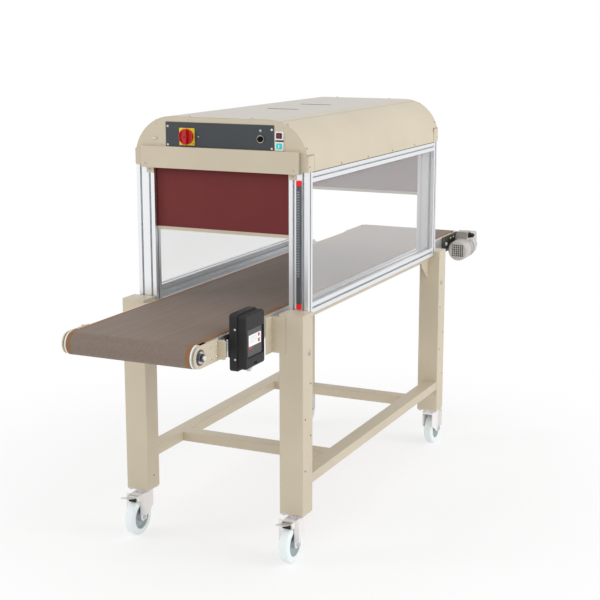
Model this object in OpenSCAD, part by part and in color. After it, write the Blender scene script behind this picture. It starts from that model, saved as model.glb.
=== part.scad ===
// Belt-conveyor drying tunnel on a castered stand.
// X runs across the belt, Y along it from the loading end to the drive end, and Z up from the floor.
// The origin lies on the floor under the middle of the tunnel.

/* [Belt conveyor] */
// Width of the belt
belt_w = 500; // [420:10:560]
// Thickness of the belt
belt_t = 2.5; // [1:0.5:4]
// Diameter of the end rollers
roller_d = 79; // [70:1:84]
// Distance between the axes of the end rollers
roller_pitch = 2760; // [2600:10:3000]
// Gap between a belt edge and the side rail beside it
rail_gap = 8; // [7:1:12]
// Thickness of the side rails
rail_t = 6; // [4:1:10]
// Height of the side rails
rail_h = 78; // [70:1:90]
// Diameter of the roller shafts
shaft_d = 20; // [16:1:25]
// Thickness of the end plates that carry the rollers
end_plate_t = 4; // [3:1:6]
// Length of a nose plate behind its roller axis
end_plate_l = 130; // [110:5:150]
// Length of a drive plate ahead of its roller axis
drive_plate_l = 235; // [210:5:260]

/* [Stand] */
// Height from the floor to the underside of a leg
caster_h = 190; // [186:1:205]
// Length of a leg tube
leg_l = 788; // [700:1:900]
// Leg tube width, across the machine
leg_w = 100; // [90:1:110]
// Leg tube depth, along the machine
leg_d = 90; // [80:1:100]
// Wall of the leg tubes
leg_wall = 4; // [3:0.5:6]
// How far the legs stand out beyond the tunnel's sides
leg_out = 23; // [15:1:30]
// Gap between a leg and the tunnel post beside it
leg_gap = 5; // [2:1:8]
// Width of the upper side beams
upper_beam_w = 50; // [40:1:60]
// Height of the upper side beams
upper_beam_h = 30; // [25:1:40]
// Width of the lower beams
lower_beam_w = 65; // [50:1:70]
// Height of the lower beams
lower_beam_h = 40; // [30:1:50]
// Height of the lower beams above the feet of the legs
lower_beam_rise = 106; // [80:1:200]
// Distance of each lower cross beam from the middle of the machine
cross_beam_y = 446; // [300:1:550]
// Wall of the beams
beam_wall = 3; // [2:0.5:4]

/* [Tunnel] */
// Distance from a belt edge to the tunnel's outer side
tunnel_side = 122; // [118:1:130]
// Length of the tunnel over its posts
tunnel_l = 1454; // [1300:2:1600]
// Height of the posts
tunnel_h = 540; // [480:1:600]
// How far the tunnel frame starts below the belt's surface
sill_drop = 16; // [10:1:24]
// Width of the slots in the aluminium sections
slot_w = 8.2; // [7:0.1:9]
// Thickness of the side windows
window_t = 5; // [3:0.5:6]
// Thickness of the floor strips beside the belt
strip_t = 2; // [1:0.5:4]

/* [Hood] */
// Height of the hood
hood_h = 192; // [175:1:220]
// Radius of the hood's upper corners
hood_r = 165; // [120:1:170]
// Thickness of the hood's sheet
sheet_t = 2; // [1.5:0.5:3]
// Depth of the flange behind the end panels
panel_flange = 15; // [10:1:25]
// Distance of each row of vents from the middle
vent_row_y = 165; // [120:1:250]
// Width of a row of vents
vent_row_w = 112; // [90:1:160]
// Length of a vent slot
vent_l = 36; // [20:1:50]
// Number of vent slots in a row
vent_n = 8; // [5:1:9]

/* [Curtains] */
// Height of a curtain's lower edge above the belt at rest
curtain_gap = 269; // [200:1:330]
// Thickness of the curtain cloth
curtain_t = 1; // [0.6:0.1:1.6]
// Height of the bottom bar
bar_h = 13; // [10:1:20]
// Thickness of the bottom bar
bar_t = 8; // [6:0.5:10]
// Diameter of the winding tube with its cloth
tube_d = 44; // [38:1:50]
// Height of the winding tube's axis above the posts
tube_rise = 38; // [32:1:44]
// Height of the curtain covers
cover_h = 84; // [78:1:90]
// How far a curtain cover stands out of the hood
cover_d = 15; // [10:1:25]
// Width of the curtain covers
cover_w = 682; // [640:2:700]

/* [Controls] */
// Width of the control plate
plate_w = 466; // [420:2:480]
// Height of the control plate
plate_h = 95; // [85:1:96]
// Side of the main switch's square plate
switch_s = 66; // [56:1:74]
// Diameter of the main switch's knob
knob_d = 60; // [50:1:66]
// Diameter of the push button
button_d = 22; // [18:1:26]
// Travel of the push button
button_travel = 4; // [2:0.5:5]
// Width of a key
key_w = 22; // [16:1:26]
// Height of a key
key_h = 20; // [14:1:24]
// Travel of a key
key_travel = 3; // [1:0.5:4]
// Length of the light bar with its caps
light_bar_l = 490; // [420:1:500]
// Width of the light bar
light_bar_w = 26; // [20:1:34]
// Thickness of the operator box
box_t = 65; // [50:1:80]
// Length of the operator box along the conveyor
box_l = 152; // [130:1:180]
// Height of the operator box
box_h = 204; // [180:1:230]

/* [Drive] */
// Distance between the drive shaft and the motor axis
worm_offset = 30; // [28:1:40]
// Diameter of the motor
motor_d = 104; // [96:1:110]
// Length of the motor's body, without the fan cowl
motor_l = 74; // [66:1:120]
// Length of the fan cowl
cowl_l = 58; // [50:1:70]
// Number of cooling fins on the motor
fin_n = 28; // [16:1:36]
// Diameter of the motor shaft
motor_shaft_d = 11; // [9:1:14]

/* [Casters] */
// Diameter of the wheels
wheel_d = 150; // [140:1:152]
// Width of the wheels
wheel_w = 40; // [30:1:46]
// Distance between the swivel axis and the wheel's axle
trail = 48; // [40:1:52]
// Thickness of the fork's sides
fork_t = 4; // [3:0.5:6]
// Diameter of the wheel axle
axle_d = 12; // [10:1:16]
// Diameter of the king pin
king_pin_d = 16; // [12:1:20]

/* [Hidden] */
$fn = 64;

// Clearances: a turning fit, a moving gap, a loose hole and a small overshoot for clean cuts
turn_fit = 0.05;
move_gap = 0.3;
hole_gap = 0.6;
cut = 1;

// Heights
leg_foot = caster_h;
leg_top = caster_h + leg_l;
belt_top = leg_top;
roller_r = roller_d / 2;
belt_r = roller_r + belt_t;
axis_z = belt_top - belt_r;
frame_z0 = belt_top - sill_drop;
frame_z1 = frame_z0 + tunnel_h;
hood_z1 = frame_z1 + hood_h;

// Across the machine
belt_x = belt_w / 2;
rail_x0 = belt_x + rail_gap;
rail_x1 = rail_x0 + rail_t;
end_plate_x1 = rail_x1 + end_plate_t;
section = 40;
post_w = 2 * section;
tunnel_x1 = belt_x + tunnel_side;
post_x0 = tunnel_x1 - post_w;
side_rail_x0 = tunnel_x1 - section;
leg_x1 = tunnel_x1 + leg_out;
leg_x0 = leg_x1 - leg_w;
leg_mid_x = leg_x1 - leg_w / 2;
leg_r = 4;
beam_r = 3;

// Along the machine
axis_y = roller_pitch / 2;
post_y1 = tunnel_l / 2;
post_y0 = post_y1 - section;
leg_y0 = post_y1 + leg_gap;
leg_y1 = leg_y0 + leg_d;
leg_mid_y = leg_y0 + leg_d / 2;

// Conveyor details
rail_z1 = belt_top - belt_t - 1.5;
rail_z0 = rail_z1 - rail_h;
bed_t = 3;
bed_flange = 22;
bed_reach = axis_y - belt_r - 18;
tie_d = 24;
tie_end = leg_y1 + 130;
tie_ys = [for (i = [-2 : 2]) i * tie_end / 2];
tie_washer_t = 2;
tie_bolt_d = 18;
tie_bolt_h = 9;
end_plate_r = belt_r - 2;
plate_hole_ys = [for (inset = [15, 59]) axis_y - end_plate_l + inset];
plate_hole_rise = 21;
drive_bolt_y = axis_y - drive_plate_l + 56;
nose_flange_w = 30;
nose_flange_r = 8;
nose_flange_in = 5;
roller_wall = 4;
roller_cap = 14;
roller_rim_t = 5;
roller_side_gap = 0.5;
washer_d = 44;
washer_t = 4;
bolt_af = 26;
bolt_h = 9;
bracket_t = 3;
bracket_h = 140;
bracket_drop = 10;
bracket_web = 59;
bracket_flange = 52;
screw_hole_d = 6;

// Slotted section details
slot_lip = 4.5;
slot_in_w = 15;
slot_deep = 11;
window_grip = 8;
cross_gap = 7;
slot_x = tunnel_x1 - section / 2;

// Hood details
hood_x1 = tunnel_x1 + 1;
hood_y1 = post_y1 + 2;
hood_lip = 22;
hood_fit = 0.3;
vent_w = 6;
tab_w = 54;
tab_h = 56;
tab_t = 0.8;
reflector_t = 1.5;
heater_n = 8;
heater_pitch = 140;
heater_d = 14;
heater_drop = 22;
heater_leg_d = 8;

// Curtain details
curtain_y = post_y1 - section / 2;
bar_z0 = belt_top + curtain_gap;
bar_side_gap = 4;
tube_y = curtain_y - curtain_t / 2 - move_gap - tube_d / 2;
tube_z = frame_z1 + tube_rise;
tube_journal_d = 10;
tube_bracket_t = 3;
tube_bracket_w = 30;
tube_side_gap = 1;
cover_z1 = frame_z1 + cover_h - 8;
cover_z0 = cover_z1 - cover_h;
cover_bracket_w = 32;
cover_bracket_h = 22;
notch_gap = 12;

// Control details
panel_face = -hood_y1;
plate_t = 2;
plate_z0 = cover_z1;
plate_face = panel_face - plate_t;
switch_x = 95 - plate_w / 2;
switch_z = plate_z0 + 40;
switch_plate_t = 3;
knob_t = 12;
knob_grip_w = 15;
knob_grip_t = 14;
spindle_d = 8;
button_x = plate_w / 2 - 55;
button_z = plate_z0 + 42;
ring_d = button_d + 8;
ring_t = 4;
button_out = 3;
key_x = plate_w / 2 + 23;
key_zs = [plate_z0 + 18, plate_z0 + 57];
bezel_rim = 5;
bezel_t = 5;
key_out = 1.5;
cap_l = 20;
light_bar_t = 8;
light_bar_x = post_x0 + post_w / 2 + 3;
light_bar_z0 = leg_top + 3;
lens_n = 33;
lens_pitch = 10;
lens_d = 6;
lens_deep = 1.5;
lens_drop = 22;

// Operator box details
box_gap = 16;
box_x0 = rail_x1 + box_gap;
box_x1 = box_x0 + box_t;
box_split = box_x0 + box_t / 2;
box_y0 = -axis_y + 185;
box_y1 = box_y0 + box_l;
box_z0 = belt_top - 130;
box_z1 = box_z0 + box_h;
box_r = 18;
edge_r = 14;
lid_inset = 5;
lid_taper = 3;
screen_recess = 8;
screen_front = 14;
screen_back = 7;
screen_low = 43;
screen_high = 59;
glass_t = 3;
box_slot_l = 24;
box_slot_h = 7;
box_slot_rise = 15;
box_slot_deep = 4;
box_bracket_h = 68;
box_bracket_l = 60;

// Drive details
motor_x = end_plate_x1 + 64;
motor_z = axis_z - worm_offset;
motor_r = motor_d / 2;
gearbox_half_w = 28;
gearbox_half_l = 45;
gearbox_r = 18;
gearbox_up = 44;
gearbox_down = 32;
flange_t = 8;
worm_r = 31;
boss_d = 64;
motor_y1 = axis_y - gearbox_half_l - flange_t;
motor_y0 = motor_y1 - motor_l;
cowl_y0 = motor_y0 - cowl_l;
cowl_wall = 1.5;
cowl_bevel = 8;
grid_hole = 7.4;
grid_pitch = 10.4;
grid_n = 6;
fin_t = 2.5;
fin_h = 6;
terminal_w = 56;
terminal_l = 58;
terminal_h = 35;
terminal_r = 5;
terminal_lid_t = 3;
terminal_lid_out = 2;
gland_d = 24;
gland_l = 30;
gland_drop = 18;
fan_d = 84;
fan_blades = 6;
fan_w = 16;
fan_plate_t = 3;

// Caster details
wheel_r = wheel_d / 2;
axle_z = wheel_r;
plate_inset = 2;
plate_t_caster = 5;
fork_gap = 2;
fork_x0 = wheel_w / 2 + fork_gap;
fork_x1 = fork_x0 + fork_t;
crown_t = 11;
crown_z1 = caster_h - plate_t_caster - 13;
crown_z0 = crown_z1 - crown_t;
swivel_d = 60;
axle_eye_r = 17;
fork_rear = 30;
fork_rear_rise = 29;
fork_flange_w = 17;
fork_flange_rise = 12;
ear_drop = 9;
ear_slope = 7;
axle_head_d = 20;
axle_head_t = 4;
pedal_pin_d = 8;
pedal_eye_d = 16;
pedal_y = 79;
pedal_z = crown_z1 - 9;
pedal_l = 66;
pedal_w = 34;
pedal_t = 4;
pedal_tilt = 16;
shoe_y0 = -6;
shoe_y1 = 8;
shoe_gap = 1.2;
shoe_drop = pedal_z - axle_z - sqrt(pow(wheel_r + shoe_gap, 2) - pow(pedal_y + shoe_y0 - trail, 2));
tyre_round = 9;
rim_r = 56;
rim_recess = 12;
hub_r = 19;

// Colours
beige = "#CEC2AA";
silver = "#D9DADB";
black = "#2E2E2E";
white = "#F0F0EE";
steel = "#9A9A98";

// A box from its low and high corners
module block(x0, x1, y0, y1, z0, z1) {
  translate([x0, y0, z0]) cube([x1 - x0, y1 - y0, z1 - z0]);
}

// A round bar along X, Y or Z
module bar_x(y, z, x0, x1, d) {
  translate([x0, y, z]) rotate([0, 90, 0]) cylinder(h = x1 - x0, d = d);
}
module bar_y(x, z, y0, y1, d) {
  translate([x, y0, z]) rotate([-90, 0, 0]) cylinder(h = y1 - y0, d = d);
}
module bar_z(x, y, z0, z1, d) {
  translate([x, y, z0]) cylinder(h = z1 - z0, d = d);
}

// A flat outline in Y and Z carried along X, or in X and Z carried along Y
module along_x(x0, x1) {
  translate([x0, 0, 0]) rotate([90, 0, 90]) linear_extrude(x1 - x0) children();
}
module along_y(y0, y1) {
  translate([0, y1, 0]) rotate([90, 0, 0]) linear_extrude(y1 - y0) children();
}

// Copies on both sides, at both ends, or at all four corners
module both_sides() {
  children();
  mirror([1, 0, 0]) children();
}
module both_ends() {
  children();
  mirror([0, 1, 0]) children();
}
module four_corners() {
  both_sides() both_ends() children();
}

// A rectangle with round corners
module round_rect(x0, x1, y0, y1, r) {
  translate([x0 + r, y0]) square([x1 - x0 - 2 * r, y1 - y0]);
  translate([x0, y0 + r]) square([x1 - x0, y1 - y0 - 2 * r]);
  for (x = [x0 + r, x1 - r], y = [y0 + r, y1 - r]) translate([x, y]) circle(r);
}

// A rectangle whose two right-hand corners are round
module tongue(x0, x1, y0, y1, r) {
  translate([x0, y0]) square([x1 - r - x0, y1 - y0]);
  translate([x0, y0 + r]) square([x1 - x0, y1 - y0 - 2 * r]);
  for (y = [y0 + r, y1 - r]) translate([x1 - r, y]) circle(r);
}

// A rectangle whose two upper corners are round
module arch(half_w, z0, z1, r) {
  translate([-half_w, z0]) square([2 * half_w, z1 - z0 - r]);
  translate([r - half_w, z0]) square([2 * (half_w - r), z1 - z0]);
  intersection() {
    for (x = [r - half_w, half_w - r]) translate([x, z1 - r]) circle(r);
    translate([-half_w, z1 - r]) square([2 * half_w, r]);
  }
}

// The belt's loop: two round ends joined by straight runs
module loop(r) {
  translate([-axis_y, axis_z - r]) square([2 * axis_y, 2 * r]);
  for (y = [-axis_y, axis_y]) translate([y, axis_z]) circle(r);
}

// One undercut slot along Z, cut into the face at y = 0
module slot(length) {
  translate([-slot_w / 2, -cut, -cut]) cube([slot_w, slot_lip + 2 * cut, length + 2 * cut]);
  translate([-slot_in_w / 2, slot_lip, -cut]) cube([slot_in_w, slot_deep - slot_lip, length + 2 * cut]);
}

// A slotted aluminium section along Z with a slot every 40 mm of its width and depth
module slotted(nx, ny, length) {
  difference() {
    cube([nx * section, ny * section, length]);
    for (i = [0 : nx - 1]) {
      translate([(i + 0.5) * section, 0, 0]) slot(length);
      translate([(i + 0.5) * section, ny * section, 0]) rotate([0, 0, 180]) slot(length);
    }
    for (i = [0 : ny - 1]) {
      translate([0, (i + 0.5) * section, 0]) rotate([0, 0, -90]) slot(length);
      translate([nx * section, (i + 0.5) * section, 0]) rotate([0, 0, 90]) slot(length);
    }
  }
}

// Stand

// Square tubes with round edges, closed at the top
module legs() {
  color(beige) four_corners() difference() {
    translate([0, 0, leg_foot]) linear_extrude(leg_l) round_rect(leg_x0, leg_x1, leg_y0, leg_y1, leg_r);
    block(leg_x0 + leg_wall, leg_x1 - leg_wall, leg_y0 + leg_wall, leg_y1 - leg_wall,
          leg_foot - cut, leg_top - leg_wall);
  }
}

module upper_side_beams() {
  beam_z1 = frame_z0;
  beam_z0 = beam_z1 - upper_beam_h;
  gusset_x = post_x0 + upper_beam_w - 8;
  gusset_l = 90;
  gusset_h = 80;
  gusset_t = 4;
  color(beige) both_sides() {
    difference() {
      along_y(-leg_y0, leg_y0) round_rect(post_x0, post_x0 + upper_beam_w, beam_z0, beam_z1, beam_r);
      block(post_x0 + beam_wall, post_x0 + upper_beam_w - beam_wall, -leg_y0 - cut, leg_y0 + cut,
            beam_z0 + beam_wall, beam_z1 - beam_wall);
    }
    both_ends() along_x(gusset_x, gusset_x + gusset_t) polygon([
      [leg_y0, beam_z0 + 1], [leg_y0, beam_z0 - gusset_h], [leg_y0 - 14, beam_z0 - gusset_h],
      [leg_y0 - gusset_l, beam_z0 - 14], [leg_y0 - gusset_l, beam_z0 + 1]]);
  }
}

module lower_beams() {
  z0 = leg_foot + lower_beam_rise;
  z1 = z0 + lower_beam_h;
  x1 = leg_x1 - 3;
  x0 = x1 - lower_beam_w;
  cross_y0 = cross_beam_y - lower_beam_w / 2;
  cross_y1 = cross_y0 + lower_beam_w;
  color(beige) difference() {
    union() {
      both_sides() along_y(-leg_y0, leg_y0) round_rect(x0, x1, z0, z1, beam_r);
      both_ends() along_x(-x0 - cut, x0 + cut) round_rect(cross_y0, cross_y1, z0, z1, beam_r);
    }
    both_sides()
      block(x0 + beam_wall, x1 - beam_wall, -leg_y0 - cut, leg_y0 + cut, z0 + beam_wall, z1 - beam_wall);
    both_ends() block(-x0, x0, cross_y0 + beam_wall, cross_y1 - beam_wall, z0 + beam_wall, z1 - beam_wall);
  }
}

// Folded brackets that hold the side rails on the legs
module conveyor_brackets() {
  z1 = belt_top - bracket_drop;
  z0 = z1 - bracket_h;
  color(beige) four_corners() {
    block(rail_x1, rail_x1 + bracket_web, leg_y1, leg_y1 + bracket_t, z0, z1);
    block(rail_x1, rail_x1 + bracket_t, leg_y1, leg_y1 + bracket_flange, z0, z1);
  }
}

// Conveyor

// Side rails with the heads of the bolts that hold the tie bars between them
module side_rails() {
  reach = axis_y - belt_r - 10;
  color(silver) both_sides() {
    block(rail_x0, rail_x1, -reach, reach, rail_z0, rail_z1);
    for (y = tie_ys) {
      bar_x(y, axis_z, rail_x1 - cut, rail_x1 + tie_washer_t, tie_d);
      translate([rail_x1, y, axis_z]) rotate([0, 90, 0]) cylinder(h = tie_bolt_h, d = tie_bolt_d, $fn = 6);
    }
  }
}

// The sheet that the belt slides on, and the tie bars below it
module belt_bed() {
  z1 = belt_top - belt_t;
  color(silver) {
    block(-rail_x0, rail_x0, -bed_reach, bed_reach, z1 - bed_t, z1);
    both_sides() block(rail_x0 - bed_t, rail_x0, -bed_reach, bed_reach, z1 - bed_flange, z1);
    for (y = tie_ys) bar_x(y, axis_z, -rail_x0, rail_x0, tie_d);
  }
}

// An end plate: a round end about the roller axis and a straight tail, with its bore and screw holes
module end_plate(length) {
  x0 = rail_x1 - cut;
  x1 = end_plate_x1 + cut;
  difference() {
    along_x(rail_x1, end_plate_x1) {
      translate([axis_y - length, axis_z - end_plate_r]) square([length, 2 * end_plate_r]);
      translate([axis_y, axis_z]) circle(end_plate_r);
    }
    bar_x(axis_y, axis_z, x0, x1, shaft_d + 2 * turn_fit);
    for (y = plate_hole_ys, side = [-1, 1]) bar_x(y, axis_z + side * plate_hole_rise, x0, x1, screw_hole_d);
  }
}

// Nose plates at the loading end, with the flange that takes up the belt's slack
module nose_plates() {
  tail_y = axis_y - end_plate_l;
  color(beige) both_sides() mirror([0, 1, 0]) {
    end_plate(end_plate_l);
    along_y(tail_y, tail_y + end_plate_t)
      tongue(rail_x1, end_plate_x1 + nose_flange_w, axis_z - end_plate_r + nose_flange_in,
             axis_z + end_plate_r - nose_flange_in, nose_flange_r);
  }
}

// Longer plates at the drive end, each with one more hole for the bolt that holds it to the rail
module drive_plates() {
  color("#4A4B4C") both_sides() difference() {
    end_plate(drive_plate_l);
    bar_x(drive_bolt_y, axis_z, rail_x1 - cut, end_plate_x1 + cut, screw_hole_d);
  }
}

// A shaft that stands still, held by a washer and a hexagon head at each end
module nose_shaft() {
  color(steel) {
    bar_x(-axis_y, axis_z, -end_plate_x1, end_plate_x1, shaft_d);
    both_sides() {
      bar_x(-axis_y, axis_z, end_plate_x1, end_plate_x1 + washer_t, washer_d);
      translate([end_plate_x1 + washer_t, -axis_y, axis_z]) rotate([0, 90, 0])
        cylinder(h = bolt_h, d = bolt_af / cos(30), $fn = 6);
    }
  }
}

module conveyor_belt() {
  color("#8A7A6D") along_x(-belt_x, belt_x) difference() {
    loop(belt_r);
    loop(roller_r);
  }
}

// Half of a hollow roller's section, from its middle to its rimmed end
module roller_section(bore_r) {
  end = belt_x + roller_side_gap;
  translate([roller_r - roller_wall - move_gap, 0]) square([roller_wall, end]);
  translate([bore_r, belt_x - roller_cap])
    square([roller_r - move_gap - bore_r, roller_cap + roller_side_gap]);
  translate([bore_r, end]) square([belt_r - bore_r, roller_rim_t]);
}

module roller_shell(bore_r) {
  rotate([0, 90, 0]) rotate_extrude($fn = 96) {
    roller_section(bore_r);
    mirror([0, 1]) roller_section(bore_r);
  }
}

module nose_roller() {
  color(white) translate([0, -axis_y, axis_z]) roller_shell(shaft_d / 2 + turn_fit);
}

// The drive roller turns with its shaft, whose long end enters the gearbox
module drive_roller() {
  color(white) {
    translate([0, axis_y, axis_z]) roller_shell(shaft_d / 2 - cut);
    bar_x(axis_y, axis_z, -end_plate_x1 - 4, motor_x + gearbox_half_w, shaft_d);
  }
}

// Tunnel

module tunnel_posts() {
  color(silver) four_corners() translate([post_x0, post_y0, frame_z0]) slotted(2, 1, tunnel_h);
}

module tunnel_rails() {
  cross_y0 = post_y0 - cross_gap - section;
  color(silver) {
    both_sides() for (z = [frame_z0, frame_z1 - section])
      translate([side_rail_x0, -post_y0, z + section]) rotate([-90, 0, 0]) slotted(1, 1, 2 * post_y0);
    both_ends() translate([-side_rail_x0, cross_y0, frame_z1]) rotate([0, 90, 0])
      slotted(1, 1, 2 * side_rail_x0);
  }
}

module side_windows() {
  color([0.85, 0.87, 0.88, 0.4]) both_sides()
    block(slot_x - window_t / 2, slot_x + window_t / 2, -post_y0 - window_grip, post_y0 + window_grip,
          frame_z0 + section - slot_deep, frame_z1 - section + window_grip);
}

module floor_strips() {
  color(silver) both_sides()
    block(rail_x1 + 2, side_rail_x0, -post_y0, post_y0, frame_z0, frame_z0 + strip_t);
}

// Hood

module hood_cover() {
  slot_pitch = vent_row_w / (vent_n - 1);
  color(beige) {
    difference() {
      along_y(-hood_y1, hood_y1) difference() {
        arch(hood_x1, frame_z1, hood_z1, hood_r);
        arch(hood_x1 - sheet_t, frame_z1 - cut, hood_z1 - sheet_t, hood_r - sheet_t);
      }
      both_ends() for (i = [0 : vent_n - 1])
        translate([i * slot_pitch - (vent_row_w + vent_w) / 2, vent_row_y - vent_l / 2,
                   hood_z1 - 2 * sheet_t])
          cube([vent_w, vent_l, 3 * sheet_t]);
    }
    both_sides()
      block(hood_x1 - hood_lip, hood_x1 - sheet_t / 2, -post_y0, post_y0, frame_z1, frame_z1 + sheet_t);
    four_corners() block(hood_x1 - cut / 2, hood_x1 + tab_t, hood_y1 - tab_w, hood_y1,
                         frame_z1 + 5, frame_z1 + 5 + tab_h);
  }
}

// An end panel: a flat plate inside the arch with a flange behind it, open below for the winding tube
module end_panel() {
  half_w = hood_x1 - sheet_t - hood_fit;
  top = hood_z1 - sheet_t - hood_fit;
  r = hood_r - sheet_t - hood_fit;
  difference() {
    union() {
      along_y(hood_y1 - sheet_t, hood_y1) arch(half_w, frame_z1, top, r);
      along_y(hood_y1 - sheet_t - panel_flange, hood_y1) difference() {
        arch(half_w, frame_z1, top, r);
        arch(half_w - sheet_t, frame_z1 - cut, top - sheet_t, r - sheet_t);
      }
    }
    block(-post_x0 - notch_gap, post_x0 + notch_gap, hood_y1 - sheet_t - cut, hood_y1 + cut,
          frame_z1 - cut, cover_z1 - notch_gap);
  }
}

module hood_front_panel() {
  color(beige) difference() {
    mirror([0, 1, 0]) end_panel();
    bar_y(button_x, button_z, panel_face - cut, panel_face + sheet_t + cut, button_d + 2 * hole_gap);
    for (z = key_zs) key_slot(z, panel_face - cut, panel_face + sheet_t + cut, hole_gap);
  }
}

module hood_rear_panel() {
  color(beige) end_panel();
}

// Curtains

// A folded tray that hides the winding tube, open at the back
module curtain_cover() {
  difference() {
    block(-cover_w / 2, cover_w / 2, hood_y1, hood_y1 + cover_d, cover_z0, cover_z1);
    block(-cover_w / 2 + sheet_t, cover_w / 2 - sheet_t, hood_y1 - cut, hood_y1 + cover_d - sheet_t,
          cover_z0 + sheet_t, cover_z1 - sheet_t);
  }
}

module front_curtain_cover() {
  color(beige) mirror([0, 1, 0]) curtain_cover();
}

module rear_curtain_cover() {
  color(beige) curtain_cover();
}

// Small plates under the covers, and the winding tube's end brackets on the posts
module curtain_brackets() {
  plate_x0 = post_x0 + 4;
  color(beige) four_corners() {
    block(post_x0, post_x0 + cover_bracket_w, post_y1, post_y1 + bracket_t,
          cover_z0 - cover_bracket_h, cover_z0);
    difference() {
      union() {
        block(plate_x0, plate_x0 + tube_bracket_t, tube_y - tube_bracket_w / 2, tube_y + tube_bracket_w / 2,
              frame_z1, tube_z + tube_bracket_w / 2);
        block(plate_x0, plate_x0 + tube_bracket_w, post_y0 + 2, tube_y + tube_bracket_w / 2,
              frame_z1, frame_z1 + tube_bracket_t);
      }
      bar_x(tube_y, tube_z, plate_x0 - cut, plate_x0 + tube_bracket_t + cut, tube_journal_d + 2 * turn_fit);
    }
  }
}

module winding_tube() {
  half = post_x0 + 4 - tube_side_gap;
  bar_x(tube_y, tube_z, -half, half, tube_d);
  bar_x(tube_y, tube_z, -half - tube_bracket_t - 3, half + tube_bracket_t + 3, tube_journal_d);
}

module front_winding_tube() {
  color("#6F3030") mirror([0, 1, 0]) winding_tube();
}

module rear_winding_tube() {
  color("#6F3030") winding_tube();
}

module curtain() {
  block(-post_x0 + bar_side_gap, post_x0 - bar_side_gap, curtain_y - curtain_t / 2, curtain_y + curtain_t / 2,
        bar_z0 + bar_h, tube_z);
}

module front_curtain() {
  color("#6F3030") mirror([0, 1, 0]) curtain();
}

module rear_curtain() {
  color("#6F3030") curtain();
}

// The bottom bar, with a tongue at each end that runs in the posts' slots
module curtain_bar() {
  tongue_t = slot_w - 2 * move_gap;
  tongue_in = 3;
  block(-post_x0 + bar_side_gap, post_x0 - bar_side_gap, curtain_y - bar_t / 2, curtain_y + bar_t / 2,
        bar_z0, bar_z0 + bar_h);
  block(-post_x0 - tongue_in, post_x0 + tongue_in, curtain_y - tongue_t / 2, curtain_y + tongue_t / 2,
        bar_z0 + 2, bar_z0 + bar_h - 2);
}

module front_curtain_bar() {
  color(beige) mirror([0, 1, 0]) curtain_bar();
}

module rear_curtain_bar() {
  color(beige) curtain_bar();
}

// Heating

module heater_reflector() {
  half_x = side_rail_x0 - 1;
  half_y = post_y0 - cross_gap - section + 15;
  color(silver) block(-half_x, half_x, -half_y, half_y, frame_z1, frame_z1 + reflector_t);
}

module heater_tubes() {
  half_x = post_x0 - 12;
  z = frame_z1 - heater_drop;
  color("#B9B4AE") for (i = [0 : heater_n - 1]) {
    y = (i - (heater_n - 1) / 2) * heater_pitch;
    bar_x(y, z, -half_x, half_x, heater_d);
    both_sides() bar_z(half_x - 20, y, z, frame_z1, heater_leg_d);
  }
}

// Controls

module control_plate() {
  color("#3F464A") difference() {
    block(-plate_w / 2, plate_w / 2, plate_face, panel_face, plate_z0, plate_z0 + plate_h);
    bar_y(button_x, button_z, plate_face - cut, panel_face + cut, button_d + 2 * hole_gap);
  }
}

module switch_plate() {
  half = switch_s / 2;
  color("#F2C928") difference() {
    along_y(plate_face - switch_plate_t, plate_face)
      round_rect(switch_x - half, switch_x + half, switch_z - half, switch_z + half, 3);
    bar_y(switch_x, switch_z, plate_face - switch_plate_t - cut, plate_face + cut, spindle_d + 2 * turn_fit);
  }
}

// A round knob with a raised grip bar, on a spindle
module switch_knob() {
  back = plate_face - switch_plate_t - move_gap;
  front = back - knob_t;
  color("#D8231F") {
    difference() {
      bar_y(switch_x, switch_z, front, back, knob_d);
      bar_y(switch_x, switch_z, front - cut, front + 5, knob_d - 8);
    }
    along_y(front - knob_grip_t + 5, front + 5) intersection() {
      translate([switch_x, switch_z]) circle(d = knob_d - 2);
      translate([switch_x - knob_grip_w / 2, switch_z - knob_d / 2]) square([knob_grip_w, knob_d]);
    }
    bar_y(switch_x, switch_z, back - cut, plate_face - move_gap, spindle_d);
  }
}

module button_ring() {
  color(silver) difference() {
    bar_y(button_x, button_z, plate_face - ring_t, plate_face, ring_d);
    bar_y(button_x, button_z, plate_face - ring_t - cut, plate_face + cut, button_d + 2 * move_gap);
  }
}

module push_button() {
  front = plate_face - ring_t - button_out - button_travel / 2;
  color(black) bar_y(button_x, button_z, front, panel_face, button_d);
}

// The opening that a key slides in
module key_slot(z, y0, y1, gap) {
  block(key_x - key_w / 2 - gap, key_x + key_w / 2 + gap, y0, y1, z - key_h / 2 - gap, z + key_h / 2 + gap);
}

module key_bezels() {
  rim = bezel_rim + move_gap;
  color(white) for (z = key_zs) difference() {
    along_y(panel_face - bezel_t, panel_face)
      round_rect(key_x - key_w / 2 - rim, key_x + key_w / 2 + rim, z - key_h / 2 - rim - 1,
                 z + key_h / 2 + rim + 1, 4);
    key_slot(z, panel_face - bezel_t - cut, panel_face + cut, move_gap);
  }
}

// A key stands out of its bezel and can be pushed in by its travel
module key(z) {
  key_slot(z, panel_face - bezel_t - key_out - key_travel / 2, panel_face, 0);
}

module start_key() {
  color("#35C9C0") key(key_zs[0]);
}

module stop_key() {
  color(black) key(key_zs[1]);
}

// The light bar: a slim case with a row of sunk lenses
module light_bar() {
  face = -post_y1 - light_bar_t;
  half = light_bar_w / 2;
  case_z1 = light_bar_z0 + light_bar_l - cap_l;
  color("#4A4E52") difference() {
    block(light_bar_x - half, light_bar_x + half, face, -post_y1, light_bar_z0 + cap_l, case_z1);
    for (i = [0 : lens_n - 1])
      bar_y(light_bar_x, case_z1 - lens_drop - i * lens_pitch, face - cut, face + lens_deep, lens_d);
  }
}

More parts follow.
